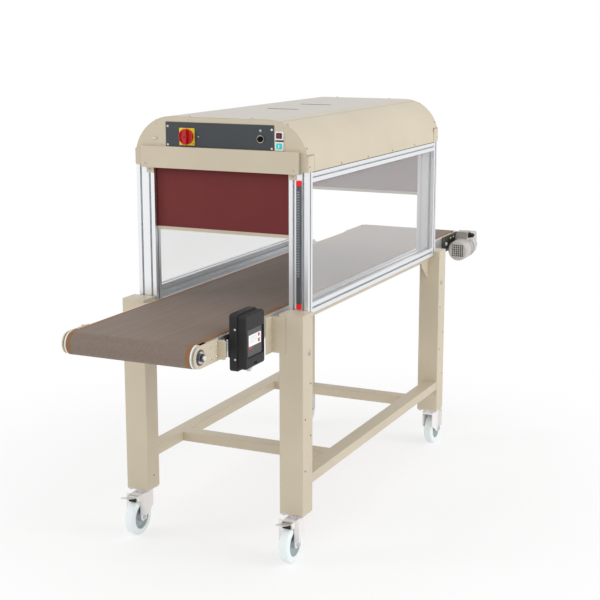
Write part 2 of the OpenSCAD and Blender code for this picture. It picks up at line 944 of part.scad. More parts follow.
module light_bar_caps() {
  color("#F0201F") for (z = [light_bar_z0, light_bar_z0 + light_bar_l - cap_l])
    along_y(-post_y1 - light_bar_t - 1, -post_y1)
      round_rect(light_bar_x - light_bar_w / 2, light_bar_x + light_bar_w / 2, z, z + cap_l, 2);
}

// Operator box: a moulded base with round edges, a tapered lid with a sunk screen, and its bracket

// The back edge is a quarter round, stepped by angle
module operator_base() {
  color(black) hull() for (angle = [0 : 18 : 90]) {
    inset = edge_r * (1 - cos(angle));
    along_x(box_x0 + edge_r * (1 - sin(angle)), box_split)
      round_rect(box_y0 + inset, box_y1 - inset, box_z0 + inset, box_z1 - inset, box_r - inset, $fn = 32);
  }
}

// The lid's outline, drawn in on all sides by an inset
module lid_outline(inset) {
  edge = lid_inset + inset;
  round_rect(box_y0 + edge, box_y1 - inset, box_z0 + edge, box_z1 - edge, box_r / 2);
}

// The sunk screen's place, with a gap all round
module screen_place(x0, x1, gap) {
  block(x0, x1, box_y0 + lid_inset + screen_front + gap, box_y1 - screen_back - gap,
        box_z0 + screen_low + gap, box_z1 - screen_high - gap);
}

module operator_lid() {
  slot_y = (box_y0 + box_y1) / 2;
  color(black) difference() {
    hull() {
      along_x(box_split, box_x1 - 2 * lid_taper) lid_outline(0);
      along_x(box_split, box_x1) lid_outline(lid_taper);
    }
    screen_place(box_x1 - screen_recess, box_x1 + cut, 0);
    block(box_x1 - box_slot_deep, box_x1 + cut, slot_y - box_slot_l / 2, slot_y + box_slot_l / 2,
          box_z0 + box_slot_rise, box_z0 + box_slot_rise + box_slot_h);
  }
}

module display_glass() {
  back = box_x1 - screen_recess;
  color("#3A3C40") screen_place(back, back + glass_t, move_gap);
}

module operator_bracket() {
  y0 = box_y0 + 4;
  z1 = rail_z1 - 12;
  z0 = z1 - box_bracket_h;
  side_t = 5;
  color(black) difference() {
    block(rail_x1, box_x0, y0, y0 + box_bracket_l, z0, z1);
    block(rail_x1 + side_t, box_x0 - side_t, y0 - cut, y0 + box_bracket_l - side_t, z0 - cut, z1 + cut);
  }
}

// Drive

// A worm gearbox: a round-cornered block on the drive shaft, a barrel round the worm and a motor flange
module gearbox() {
  y0 = axis_y - gearbox_half_l;
  y1 = axis_y + gearbox_half_l;
  x0 = motor_x - gearbox_half_w;
  x1 = motor_x + gearbox_half_w;
  color("#D5CFCC") difference() {
    union() {
      along_x(x0, x1) round_rect(y0, y1, motor_z - gearbox_down, axis_z + gearbox_up, gearbox_r);
      bar_y(motor_x, motor_z, y0, y1 + 6, 2 * worm_r);
      bar_y(motor_x, motor_z, y0 - flange_t, y0, motor_d - 4);
      bar_x(axis_y, axis_z, end_plate_x1, x0, boss_d);
      bar_x(axis_y, axis_z, x1, x1 + 3, boss_d);
    }
    bar_x(axis_y, axis_z, end_plate_x1 - cut, x1 + 4 + cut, shaft_d + 2 * turn_fit);
  }
}

// The finned motor barrel with its terminal box on top
module motor_body() {
  core_r = motor_r - fin_h;
  box_y = (motor_y0 + motor_y1) / 2;
  terminal_z1 = motor_z + motor_r + terminal_h;
  lid_x = terminal_w / 2 + terminal_lid_out;
  lid_y = terminal_l / 2 + terminal_lid_out;
  color("#D5CFCC") difference() {
    union() {
      bar_y(motor_x, motor_z, motor_y0, motor_y1, 2 * core_r);
      bar_y(motor_x, motor_z, motor_y0, motor_y0 + 8, motor_d);
      translate([motor_x, motor_y0, motor_z]) for (i = [0 : fin_n - 1]) rotate([0, i * 360 / fin_n, 0])
        translate([core_r - 2, 0, -fin_t / 2]) cube([fin_h + 1, motor_l, fin_t]);
      along_y(box_y - terminal_l / 2, box_y + terminal_l / 2)
        round_rect(motor_x - terminal_w / 2, motor_x + terminal_w / 2, motor_z + core_r - 12, terminal_z1,
                   terminal_r);
      translate([0, 0, terminal_z1 - terminal_lid_t]) linear_extrude(terminal_lid_t)
        round_rect(motor_x - lid_x, motor_x + lid_x, box_y - lid_y, box_y + lid_y, terminal_r);
    }
    bar_y(motor_x, motor_z, motor_y0 - cut, motor_y0 + 30, motor_shaft_d + 2 * turn_fit);
  }
}

// Half of a bevelled cup's section, drawn in by an inset
module cup_section(inset) {
  r = motor_r - inset;
  open_end = cowl_l + inset;
  polygon([[0, inset], [r - cowl_bevel, inset], [r, inset + cowl_bevel], [r, open_end], [0, open_end]]);
}

// A cup over the fan with a square grid of holes in its end
module fan_cowl() {
  first = -(grid_n - 1) / 2 * grid_pitch;
  color("#CFC9C6") difference() {
    translate([motor_x, cowl_y0, motor_z]) rotate([-90, 0, 0]) rotate_extrude() difference() {
      cup_section(0);
      cup_section(cowl_wall);
    }
    for (i = [0 : grid_n - 1], j = [0 : grid_n - 1])
      translate([motor_x + first + i * grid_pitch - grid_hole / 2, cowl_y0 - cut,
                 motor_z + first + j * grid_pitch - grid_hole / 2])
        cube([grid_hole, cowl_wall + 2 * cut, grid_hole]);
  }
}

// The fan: a hub on the motor shaft, a back plate and straight blades
module motor_fan() {
  hub_y1 = motor_y0 - 2;
  hub_y0 = hub_y1 - fan_w - 6;
  color(black) {
    bar_y(motor_x, motor_z, hub_y0, hub_y1, 26);
    bar_y(motor_x, motor_z, hub_y0, motor_y0 + 29, motor_shaft_d);
    bar_y(motor_x, motor_z, hub_y1 - fan_plate_t, hub_y1, fan_d);
    translate([motor_x, hub_y0 + 4, motor_z]) for (i = [0 : fan_blades - 1])
      rotate([0, i * 360 / fan_blades, 0]) translate([8, 0, -1]) cube([fan_d / 2 - 8, fan_w, 2]);
  }
}

// A cable gland: a hexagon nut and a domed cap on the side of the terminal box
module cable_gland() {
  y = (motor_y0 + motor_y1) / 2;
  z = motor_z + motor_r + terminal_h - gland_drop;
  x0 = motor_x + terminal_w / 2;
  color(black) {
    translate([x0, y, z]) rotate([0, 90, 0]) cylinder(h = 9, d = gland_d / cos(30), $fn = 6);
    translate([x0 + 9, y, z]) rotate([0, 90, 0]) rotate_extrude() {
      square([gland_d / 2 - 1, gland_l - 20]);
      intersection() {
        translate([0, gland_l - 20]) circle(gland_d / 2 - 1);
        translate([0, gland_l - 20]) square(gland_d / 2);
      }
    }
  }
}

// Casters, built about a swivel axis at x = 0, y = 0 with the wheel trailing towards +Y

module caster_plates() {
  half_x = leg_w / 2 - plate_inset;
  half_y = leg_d / 2 - plate_inset;
  color(steel) four_corners() translate([leg_mid_x, leg_mid_y, 0]) {
    block(-half_x, half_x, -half_y, half_y, caster_h - plate_t_caster, caster_h);
    bar_z(0, 0, crown_z0 - 7, caster_h - plate_t_caster + 1, king_pin_d);
    bar_z(0, 0, crown_z0 - 7, crown_z0 - move_gap, king_pin_d + 9);
  }
}

// The outline of one side of the fork: a straight front edge down to the axle's round eye, whose tangent
// runs back to the rear edge, and a top that reaches forward by front_reach
module fork_side(front_reach) {
  front_y = trail + axle_eye_r;
  back = [-fork_rear - trail, fork_rear_rise];
  turn = atan2(back[1], back[0]) + acos(axle_eye_r / norm(back));
  polygon([[-fork_rear, crown_z1], [front_reach, crown_z1], [front_reach, crown_z0 - ear_drop],
           [front_y, crown_z0 - ear_drop - ear_slope], [front_y, axle_z],
           [trail + axle_eye_r * cos(turn), axle_z + axle_eye_r * sin(turn)],
           [-fork_rear, axle_z + fork_rear_rise]]);
  translate([trail, axle_z]) circle(axle_eye_r);
}

// A pressed fork: two sides whose front edges are folded outwards, a crown, a swivel head and the axle
module fork(with_pedal) {
  front_y = trail + axle_eye_r;
  front_reach = with_pedal ? pedal_y + pedal_eye_d / 2 + 2 : front_y;
  crown_y1 = pedal_y - pedal_eye_d / 2 - 5;
  color("#D8D4D3") {
    difference() {
      union() {
        both_sides() {
          along_x(fork_x0, fork_x1) fork_side(front_reach);
          block(fork_x0, fork_x1 + fork_flange_w, front_y - fork_t, front_y,
                axle_z + fork_flange_rise, crown_z1);
        }
        block(-fork_x1, fork_x1, -fork_rear, crown_y1, crown_z0, crown_z1);
        bar_z(0, 0, crown_z1, caster_h - plate_t_caster - move_gap, swivel_d);
      }
      bar_z(0, 0, crown_z0 - cut, caster_h, king_pin_d + 2 * turn_fit);
    }
    bar_x(trail, axle_z, -fork_x1 - axle_head_t, fork_x1 + axle_head_t, axle_d);
    both_sides() bar_x(trail, axle_z, fork_x1, fork_x1 + axle_head_t, axle_head_d);
    if (with_pedal) bar_x(pedal_y, pedal_z, -fork_x1, fork_x1, pedal_pin_d);
  }
}

// A wheel with a rounded tyre, a sunk rim and a hub, about its own axle
module wheel() {
  half = wheel_w / 2;
  color("#E4F0F2") translate([0, trail, axle_z]) rotate([0, 90, 0]) rotate_extrude($fn = 96) difference() {
    union() {
      round_rect(rim_r - 12, wheel_r, -half, half, tyre_round);
      translate([axle_d / 2 + turn_fit, -half]) square([rim_r - axle_d / 2 - turn_fit, wheel_w]);
    }
    for (side = [0, 1]) mirror([0, side])
      polygon([[hub_r - 2, half + cut], [hub_r, half - rim_recess], [rim_r - 12, half - rim_recess],
               [rim_r - 4, half + cut]]);
  }
}

// A foot pedal hinged between the fork's sides, with the brake shoe under its hinge
module pedal() {
  half = fork_x0 - move_gap;
  color(silver) translate([0, pedal_y, pedal_z]) difference() {
    union() {
      bar_x(0, 0, -half, half, pedal_eye_d);
      block(-pedal_w / 2, pedal_w / 2, shoe_y0, shoe_y1, -shoe_drop, 0);
      rotate([pedal_tilt, 0, 0]) {
        block(-pedal_w / 2, pedal_w / 2, 0, pedal_l, -pedal_t / 2, pedal_t / 2);
        bar_z(0, pedal_l, -pedal_t / 2, pedal_t / 2, pedal_w);
      }
    }
    bar_x(0, 0, -half - cut, half + cut, pedal_pin_d + 2 * turn_fit);
  }
}

// Puts a caster piece under one leg, with the wheel trailing outwards along the machine
module under_leg(side, end) {
  translate([side * leg_mid_x, end * leg_mid_y, 0]) mirror([0, end < 0 ? 1 : 0, 0]) children();
}

module front_left_fork() { under_leg(-1, -1) fork(true); }
module front_right_fork() { under_leg(1, -1) fork(true); }
module rear_left_fork() { under_leg(-1, 1) fork(false); }
module rear_right_fork() { under_leg(1, 1) fork(false); }
module front_left_wheel() { under_leg(-1, -1) wheel(); }
module front_right_wheel() { under_leg(1, -1) wheel(); }
module rear_left_wheel() { under_leg(-1, 1) wheel(); }
module rear_right_wheel() { under_leg(1, 1) wheel(); }
module front_left_pedal() { under_leg(-1, -1) pedal(); }
module front_right_pedal() { under_leg(1, -1) pedal(); }

legs();
upper_side_beams();
lower_beams();
conveyor_brackets();
caster_plates();
side_rails();
belt_bed();
nose_plates();
drive_plates();
nose_shaft();
conveyor_belt();
tunnel_posts();
tunnel_rails();
side_windows();
floor_strips();
hood_cover();
hood_front_panel();
hood_rear_panel();
front_curtain_cover();
rear_curtain_cover();
curtain_brackets();
heater_reflector();
heater_tubes();
control_plate();
switch_plate();
button_ring();
key_bezels();
light_bar();
light_bar_caps();
operator_base();
operator_lid();
display_glass();
operator_bracket();
gearbox();
motor_body();
fan_cowl();
cable_gland();
front_curtain();
rear_curtain();
front_curtain_bar();
rear_curtain_bar();
front_winding_tube();
rear_winding_tube();
nose_roller();
drive_roller();
motor_fan();
switch_knob();
push_button();
start_key();
stop_key();
front_left_fork();
front_right_fork();
rear_left_fork();
rear_right_fork();
front_left_wheel();
front_right_wheel();
rear_left_wheel();
rear_right_wheel();
front_left_pedal();
front_right_pedal();
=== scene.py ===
"""Looks of the belt-conveyor drying tunnel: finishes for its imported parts, its cloth and its fittings."""
import math

import bpy
import numpy as np
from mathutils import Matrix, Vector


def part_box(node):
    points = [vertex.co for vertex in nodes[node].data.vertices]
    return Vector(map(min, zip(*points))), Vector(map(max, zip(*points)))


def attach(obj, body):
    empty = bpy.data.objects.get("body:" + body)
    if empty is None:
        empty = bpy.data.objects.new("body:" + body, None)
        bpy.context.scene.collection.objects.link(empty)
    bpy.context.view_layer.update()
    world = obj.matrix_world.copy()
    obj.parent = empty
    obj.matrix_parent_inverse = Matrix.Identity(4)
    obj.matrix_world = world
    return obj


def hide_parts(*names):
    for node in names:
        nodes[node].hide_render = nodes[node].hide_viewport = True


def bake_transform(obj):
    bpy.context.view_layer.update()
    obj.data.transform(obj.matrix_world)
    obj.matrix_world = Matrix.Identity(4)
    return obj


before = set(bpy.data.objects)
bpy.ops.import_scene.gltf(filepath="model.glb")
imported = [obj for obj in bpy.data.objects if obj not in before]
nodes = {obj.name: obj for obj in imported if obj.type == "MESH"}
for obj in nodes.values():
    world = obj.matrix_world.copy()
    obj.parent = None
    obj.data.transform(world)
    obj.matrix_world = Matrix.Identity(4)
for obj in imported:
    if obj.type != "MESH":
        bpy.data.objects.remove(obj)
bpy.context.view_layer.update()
low = {name: np.array(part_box(name)[0]) for name in nodes}
high = {name: np.array(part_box(name)[1]) for name in nodes}
MM = 0.001
ROOT = "machine"
CORNERS = [(side, end) for side in (-1, 1) for end in (-1, 1)]
CASTERS = ["front_left", "rear_left", "front_right", "rear_right"]
BRAKED = ["front_left", "front_right"]
FRONT = (0, -1, 0)
RIGHT = (1, 0, 0)
UP = (0, 0, 1)
DOWN = (0, 0, -1)

# Where a finish changes its colour, in millimetres from a wheel's axle or from the belt's middle line

TYRE_R = 50
TAPE_X = 231
HEAD_X = 272.6


# Colour and node helpers; a Mix node has two colour inputs and a colour output, with these numbers

FIRST_COLOUR, SECOND_COLOUR, MIXED_COLOUR = 6, 7, 2


def linear(code):
    """sRGB hex to linear: c / 12.92 up to 0.04045, above that ((c + 0.055) / 1.055) to the power 2.4."""
    c = np.array([int(code[i:i + 2], 16) for i in (1, 3, 5)]) / 255
    c = np.where(c <= 0.04045, c / 12.92, ((c + 0.055) / 1.055) ** 2.4)
    return (*c, 1.0)


def add(tree, kind, values=None, links=None, **settings):
    """Adds a node, gives it its settings and socket values, and links its inputs from (node, output)
    pairs."""
    node = tree.nodes.new("ShaderNode" + kind)
    for key, value in settings.items():
        setattr(node, key, value)
    for key, value in (values or {}).items():
        node.inputs[key].default_value = value
    for key, (source, output) in (links or {}).items():
        tree.links.new(source.outputs[output], node.inputs[key])
    return node


def finish(name, **values):
    """A material with one principled shader; returns the material, its tree, the shader and the
    coordinates."""
    material = bpy.data.materials.new(name)
    material.use_nodes = True
    tree = material.node_tree
    tree.nodes.clear()
    sockets = {key.replace("_", " "): value for key, value in values.items()}
    shader = add(tree, "BsdfPrincipled", sockets)
    add(tree, "OutputMaterial", links={"Surface": (shader, "BSDF")})
    where = add(tree, "TexCoord")
    return material, tree, shader, where


def grain(tree, where, size_mm, stretch=(1, 1, 1), detail=2.0):
    """Noise whose features are about size_mm wide, and longer along an axis whose stretch is above 1."""
    scale = [1 / s for s in stretch]
    place = add(tree, "Mapping", {"Scale": scale}, {"Vector": (where, "Object")})
    return add(tree, "TexNoise", {"Scale": 1000 / size_mm, "Detail": detail}, {"Vector": (place, "Vector")})


def plain_weave(tree, where, axes, threads):
    """Two crossing waves multiplied, with a number of threads to the metre along each of two axes."""
    scale = {"Scale": threads / math.tau * 2}
    along = {"Vector": (where, "Object")}
    first, second = [add(tree, "TexWave", scale, along, bands_direction=axis) for axis in axes]
    return add(tree, "Math", operation="MULTIPLY", links={0: (first, "Fac"), 1: (second, "Fac")})


def spread(tree, noise, bottom, top):
    """Maps the middle of a noise, 0.3 to 0.7, to the range bottom to top."""
    values = {"From Min": 0.3, "From Max": 0.7, "To Min": bottom, "To Max": top}
    return add(tree, "MapRange", values, {"Value": (noise, "Fac")})


def two_tone(tree, shader, noise, dark, light):
    """Drifts the base colour between two shades with a noise."""
    share = spread(tree, noise, 0, 1)
    shades = {FIRST_COLOUR: linear(dark), SECOND_COLOUR: linear(light)}
    mix = add(tree, "Mix", shades, {"Factor": (share, "Result")}, data_type="RGBA")
    tree.links.new(mix.outputs[MIXED_COLOUR], shader.inputs["Base Color"])
    return mix


def vary_roughness(tree, shader, noise, bottom, top):
    """Drifts the roughness between two values with a noise."""
    rough = spread(tree, noise, bottom, top)
    tree.links.new(rough.outputs["Result"], shader.inputs["Roughness"])


def beyond(tree, where, axis, limit_mm):
    """1 where a point's distance from the frame's middle along an axis is above limit_mm, and 0
    elsewhere."""
    parts = add(tree, "SeparateXYZ", links={"Vector": (where, "Object")})
    side = add(tree, "Math", operation="ABSOLUTE", links={0: (parts, axis)})
    return add(tree, "Math", {1: limit_mm * MM}, {0: (side, "Value")}, operation="GREATER_THAN")


def overlay_colour(tree, shader, under, share, code):
    """Lays one colour over a colour mix where the share, a (node, output) pair, is 1."""
    links = {"Factor": share, FIRST_COLOUR: (under, MIXED_COLOUR)}
    mix = add(tree, "Mix", {SECOND_COLOUR: linear(code)}, links, data_type="RGBA")
    tree.links.new(mix.outputs[MIXED_COLOUR], shader.inputs["Base Color"])


def emboss(tree, shader, noise, output, height_mm, strength):
    """Bump of a noise, with the height of its full swing in millimetres."""
    values = {"Strength": strength, "Distance": height_mm * MM}
    bump = add(tree, "Bump", values, {"Height": (noise, output)})
    tree.links.new(bump.outputs["Normal"], shader.inputs["Normal"])


# Finishes

def powder_coat(name, dark, light, roughness=0.42, top_sheen=None):
    """Baked paint: an even satin coat with a faint orange peel, drawn at 2.5 mm so that it shows. Where a
    top_sheen colour is given, it greys the faces that look up, from 13 degrees off level to fully at 4
    degrees, as a painted reflection of the bright sky."""
    material, tree, shader, where = finish(name, Roughness=roughness, IOR=1.55)
    drift = two_tone(tree, shader, grain(tree, where, 240), dark, light)
    if top_sheen:
        # Painted reflection: faces that look up are greyed as if they mirrored the sky.
        facing = add(tree, "SeparateXYZ", links={"Vector": (add(tree, "NewGeometry"), "Normal")})
        level = add(tree, "MapRange", {"From Min": 0.975, "From Max": 0.998}, {"Value": (facing, "Z")})
        overlay_colour(tree, shader, drift, (level, "Result"), top_sheen)
    emboss(tree, shader, grain(tree, where, 2.5), "Fac", 0.05, 0.25)
    return material


def anodised(name, along, code="#EBEDEF", roughness=0.36):
    """Drawn and anodised aluminium: a soft metallic white with fine lines along the section."""
    material, tree, shader, where = finish(name, Metallic=1.0, Base_Color=linear(code))
    stretch = [60 if axis == along else 1 for axis in "xyz"]
    lines = grain(tree, where, 1.6, stretch, 3.0)
    vary_roughness(tree, shader, lines, roughness - 0.06, roughness + 0.08)
    emboss(tree, shader, lines, "Fac", 0.02, 0.3)
    return material


def plated(name, code, roughness=0.28):
    """Plated, dark grey or heat-tinted steel: metallic, with a cloudy bloom about 12 mm across."""
    material, tree, shader, where = finish(name, Metallic=1.0, Base_Color=linear(code))
    vary_roughness(tree, shader, grain(tree, where, 12), roughness - 0.05, roughness + 0.1)
    return material


def bolt_steel():
    """Plated steel whose outer ends, past the washers, are hexagon heads in a dark grey that paints their
    dark reflections.
    """
    material, tree, shader, where = finish("plated shaft with painted dark reflections on its heads", Metallic=1.0)
    drift = two_tone(tree, shader, grain(tree, where, 12), "#B9B9BA", "#CFCFD0")
    # Painted reflection: the heads past HEAD_X are dark grey.
    overlay_colour(tree, shader, drift, (beyond(tree, where, "X", HEAD_X), "Value"), "#4A4A4D")
    vary_roughness(tree, shader, grain(tree, where, 6), 0.16, 0.3)
    return material


def moulded(name, dark, light, roughness=0.4, skin_mm=0.8, height_mm=0.03, coat=0.0, ior=1.46):
    """Injection-moulded plastic: one colour with a fine etched skin."""
    material, tree, shader, where = finish(name, Roughness=roughness, IOR=ior, Coat_Weight=coat)
    two_tone(tree, shader, grain(tree, where, 60), dark, light)
    emboss(tree, shader, grain(tree, where, skin_mm), "Fac", height_mm, 0.3)
    return material


def cast_paint(name, dark, light, shaded_above_z=None):
    """Painted die casting: grey paint over a slightly sandy skin of 1.5 mm grain, and above the height
    shaded_above_z a darker grey that paints the shade on the terminal box."""
    material, tree, shader, where = finish(name, Roughness=0.42, IOR=1.5)
    drift = two_tone(tree, shader, grain(tree, where, 70), dark, light)
    if shaded_above_z:
        # Painted shade: the terminal box above this height is greyed.
        overlay_colour(tree, shader, drift, (beyond(tree, where, "Z", shaded_above_z), "Value"), "#A09A95")
    emboss(tree, shader, grain(tree, where, 1.5), "Fac", 0.08, 0.3)
    return material


def wheel_polyamide(caster):
    """Cast polyamide: a near-white tyre round a sunk disc painted greyer as the shade in its recess, told
    apart by the distance from the axle."""
    middle = (low[caster + "_wheel"] + high[caster + "_wheel"]) / 2
    name = caster.replace("_", " ") + " cast polyamide"
    material, tree, shader, where = finish(name, Roughness=0.38, IOR=1.53)
    # The disc's grey is painted shade in the wheel's recess.
    drift = two_tone(tree, shader, grain(tree, where, 45), "#A2AEB1", "#ADB8BB")
    from_axle = {"Location": (0, -middle[1], -middle[2]), "Scale": (0, 1, 1)}
    place = add(tree, "Mapping", from_axle, {"Vector": (where, "Object")})
    reach = add(tree, "VectorMath", operation="LENGTH", links={0: (place, "Vector")})
    tyre = add(tree, "Math", {1: TYRE_R * MM}, {0: (reach, "Value")}, operation="GREATER_THAN")
    overlay_colour(tree, shader, drift, (tyre, "Value"), "#F1F9FA")
    emboss(tree, shader, grain(tree, where, 1.5), "Fac", 0.03, 0.3)
    return material


def belt_fabric():
    """Coated glass fabric: a smooth brown skin with faint lengthwise streaks of 9 mm over a plain weave,
    drawn at 4 mm so that it shows, and tan tape along its edges."""
    material, tree, shader, where = finish("coated glass fabric", IOR=1.4)
    drift = two_tone(tree, shader, grain(tree, where, 9, (1, 40, 1), 4.0), "#7A6B5F", "#837469")
    overlay_colour(tree, shader, drift, (beyond(tree, where, "X", TAPE_X), "Value"), "#8A6341")
    emboss(tree, shader, plain_weave(tree, where, "XY", 250), "Value", 0.06, 0.25)
    vary_roughness(tree, shader, grain(tree, where, 22, (1, 20, 1)), 0.54, 0.62)
    return material


def curtain_cloth():
    """Coated woven cloth: dull dark red with a plain weave, drawn at 3 mm so that it shows."""
    material, tree, shader, where = finish("coated curtain cloth", Roughness=0.8, IOR=1.4)
    two_tone(tree, shader, grain(tree, where, 150), "#6F2B2B", "#732E2E")
    emboss(tree, shader, plain_weave(tree, where, "XZ", 333), "Value", 0.15, 0.35)
    return material


def clear_sheet():
    """Clear acrylic: a pale milky veil over what lies behind it, and a little gloss."""
    veil = linear("#FBFCFC")
    material, tree, shader, where = finish("clear acrylic sheet", Base_Color=veil, IOR=1.49, Alpha=0.2)
    vary_roughness(tree, shader, grain(tree, where, 320), 0.04, 0.09)
    return material


def dark_glass():
    """The display's dark front glass: an even dark grey with a soft gloss."""
    material, tree, shader, where = finish("dark display glass", Base_Color=linear("#3C3C3D"), IOR=1.45)
    vary_roughness(tree, shader, grain(tree, where, 40), 0.22, 0.3)
    return material


beige = powder_coat("beige powder coat", "#C9BDA6", "#CFC3AC")
# The hood cover's upward faces carry a painted sky reflection.
sky_sheen_beige = powder_coat("beige powder coat with a painted sky sheen on top", "#C9BDA6", "#CFC3AC", top_sheen="#C5BEB5")
# Brown painted shade for the shadow gaps round the hood's corner plates.
shadow_gap_beige = powder_coat("brown painted shadow gap", "#857A66", "#91866F", 0.6)
# Darker beige as painted shade along the hood's bends.
crease_shade_beige = powder_coat("beige darkened as painted crease shade", "#BEB29C", "#C4B8A2")
# Darker beige as painted shade on the curtain covers' ends.
end_shade_beige = powder_coat("beige darkened as painted shade on the covers' ends", "#A0968A", "#A89E92")
alu_z = anodised("anodised aluminium, upright", "z")
alu_y = anodised("anodised aluminium, lengthwise", "y")
mill_alu = anodised("mill aluminium sheet", "y", "#C4C5C6", 0.4)
zinc = plated("zinc plated steel", "#CFCDC9")
white_zinc = plated("white zinc on steel", "#E4E4E2", 0.34)
dull_zinc = plated("dulled zinc on steel", "#ABA69C", 0.4)
# Olive grey as painted shade on the drive plates' guard strips.
guard_shade_olive = plated("olive grey steel as painted shade", "#7F7A62", 0.4)
shaft_steel = bolt_steel()
dark_coat = powder_coat("black powder coat", "#222223", "#2B2B2C", 0.45)
film = powder_coat("printed panel film", "#2B3136", "#32383D", 0.45)
yellow = moulded("yellow ABS", "#EDCB22", "#F3D636", 0.36)
red = moulded("red ABS", "#B40609", "#C60B0E", 0.36, coat=0.1)
black = moulded("black polyamide", "#0F0F10", "#161617", 0.55, 1.0, 0.05)
white = moulded("white polyamide", "#ECECEA", "#F4F4F2", 0.4)
ivory = moulded("ivory polyamide", "#CFC9C1", "#D7D2CA", 0.45)
teal = moulded("lit teal lens", "#12CFD0", "#26DDDC", 0.3)
chrome = plated("polished chrome", "#A9A398", 0.16)
cap_black = moulded("matt black push cap", "#0A0A0B", "#101011", 0.8, ior=1.2)
grey_body = moulded("dark grey ABS", "#45494D", "#4E5256", 0.46)
cap_red = moulded("red polycarbonate", "#EB0C0C", "#F31614", 0.4)
casting = cast_paint("painted die casting", "#C0BBB7", "#CDC8C4")
motor_casting = cast_paint("painted motor casting", "#BDB8B5", "#C9C4C1", high["fan_cowl"][2] / MM + 2)
fork_paint = powder_coat("grey-white stove enamel", "#EEEAE8", "#F4F1EF", 0.34)
heater_steel = plated("heat-tinted steel", "#A89A88", 0.35)
dark_steel = plated("dark grey steel", "#5A5A5C", 0.3)
rubber = moulded("black rubber", "#1C1C1C", "#252525", 0.7, 1.2, 0.06)
lens_glass = moulded("smoked acrylic lens", "#868C91", "#91979C", 0.25)
lamp_glass = moulded("pale acrylic lens", "#A9AFB3", "#B5BBBF", 0.25)
screen_white = moulded("lit white screen", "#F2F2F2", "#FAFAFA", 0.35)
print_red = moulded("red screen print", "#B9202C", "#C42834", 0.4)
print_grey = moulded("grey screen print", "#C9CACB", "#D3D4D5", 0.4)
belt = belt_fabric()
cloth = curtain_cloth()
acrylic = clear_sheet()
screen_glass = dark_glass()

node_finish = {
    beige: ["legs", "upper_side_beams", "lower_beams", "conveyor_brackets", "nose_plates",
            "hood_front_panel", "hood_rear_panel", "front_curtain_cover", "rear_curtain_cover",
            "curtain_brackets", "front_curtain_bar", "rear_curtain_bar"],
    sky_sheen_beige: ["hood_cover"],
    zinc: ["caster_plates", "front_left_pedal", "front_right_pedal"],
    shaft_steel: ["nose_shaft"],
    alu_z: ["tunnel_posts"],
    alu_y: ["tunnel_rails", "side_rails"],
    mill_alu: ["belt_bed", "floor_strips", "heater_reflector"],
    heater_steel: ["heater_tubes"],
    belt: ["conveyor_belt"],
    cloth: ["front_winding_tube", "rear_winding_tube"],
    acrylic: ["side_windows"],
    dark_coat: ["drive_plates"],
    film: ["control_plate"],
    yellow: ["switch_plate"],
    red: ["switch_knob"],
    cap_red: ["light_bar_caps"],
    black: ["operator_base", "operator_lid", "operator_bracket", "cable_gland", "stop_key", "motor_fan"],
    cap_black: ["push_button"],
    white: ["key_bezels", "nose_roller", "drive_roller"],
    teal: ["start_key"],
    chrome: ["button_ring"],
    grey_body: ["light_bar"],
    screen_glass: ["display_glass"],
    casting: ["gearbox", "fan_cowl"],
    motor_casting: ["motor_body"],
    fork_paint: [caster + "_fork" for caster in CASTERS],
}
for caster in CASTERS:
    node_finish[wheel_polyamide(caster)] = [caster + "_wheel"]
for material, names in node_finish.items():
    for name in names:
        slots = nodes[name].data.materials
        slots.clear()
        slots.append(material)


# Mesh helpers; a fitting reaches SUNK millimetres into what carries it

SHARP_ANGLE = 35
SUNK = 0.3


def make_piece(name, shape, material, body=ROOT):
    """Puts points and faces, in metres, into a smooth mesh object with sharp edges above SHARP_ANGLE
    degrees."""
    verts, faces = shape
    mesh = bpy.data.meshes.new(name)
    mesh.from_pydata(np.asarray(verts).tolist(), [], [list(map(int, face)) for face in faces])
    mesh.polygons.foreach_set("use_smooth", np.full(len(mesh.polygons), True))
    mesh.set_sharp_from_angle(angle=math.radians(SHARP_ANGLE))
    mesh.materials.append(material)
    mesh.update()
    piece = bpy.data.objects.new(name, mesh)
    bpy.context.scene.collection.objects.link(piece)
    if body:
        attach(piece, body)
    return piece


def grid_faces(rows, columns, wrap=False):
    """Quads between neighbouring rows and columns of a grid of points. With wrap, the last column joins the
    first."""
    i, j = np.meshgrid(np.arange(rows - 1), np.arange(columns if wrap else columns - 1), indexing="ij")
    right = (j + 1) % columns
    lower, upper = i * columns, (i + 1) * columns
    return np.stack([lower + j, lower + right, upper + right, upper + j], -1).reshape(-1, 4)


def circles(r, h, angle):
    """A ring of points round Z for each radius and height: x = r cos a, y = r sin a, z = h."""
    heights = np.repeat(h[:, None], len(angle), 1)
    return np.stack([np.outer(r, np.cos(angle)), np.outer(r, np.sin(angle)), heights], -1)


def stacked(rings):
    """A closed skin through a stack of rings of equal count, from the lowest to the highest, capped at both
    ends."""
    rows, columns = rings.shape[:2]
    faces = grid_faces(rows, columns, wrap=True).tolist()
    faces.append(list(range(columns))[::-1])
    faces.append(list(range((rows - 1) * columns, rows * columns)))
    return rings.reshape(-1, 3), faces


def turned(profile, segments=20):
    """A revolve about Z: each profile point (radius, height), in millimetres, becomes a ring."""
    r, h = np.array(profile, float).T * MM
    angle = np.linspace(0, math.tau, segments, endpoint=False) + math.pi / segments
    return stacked(circles(r, h, angle))


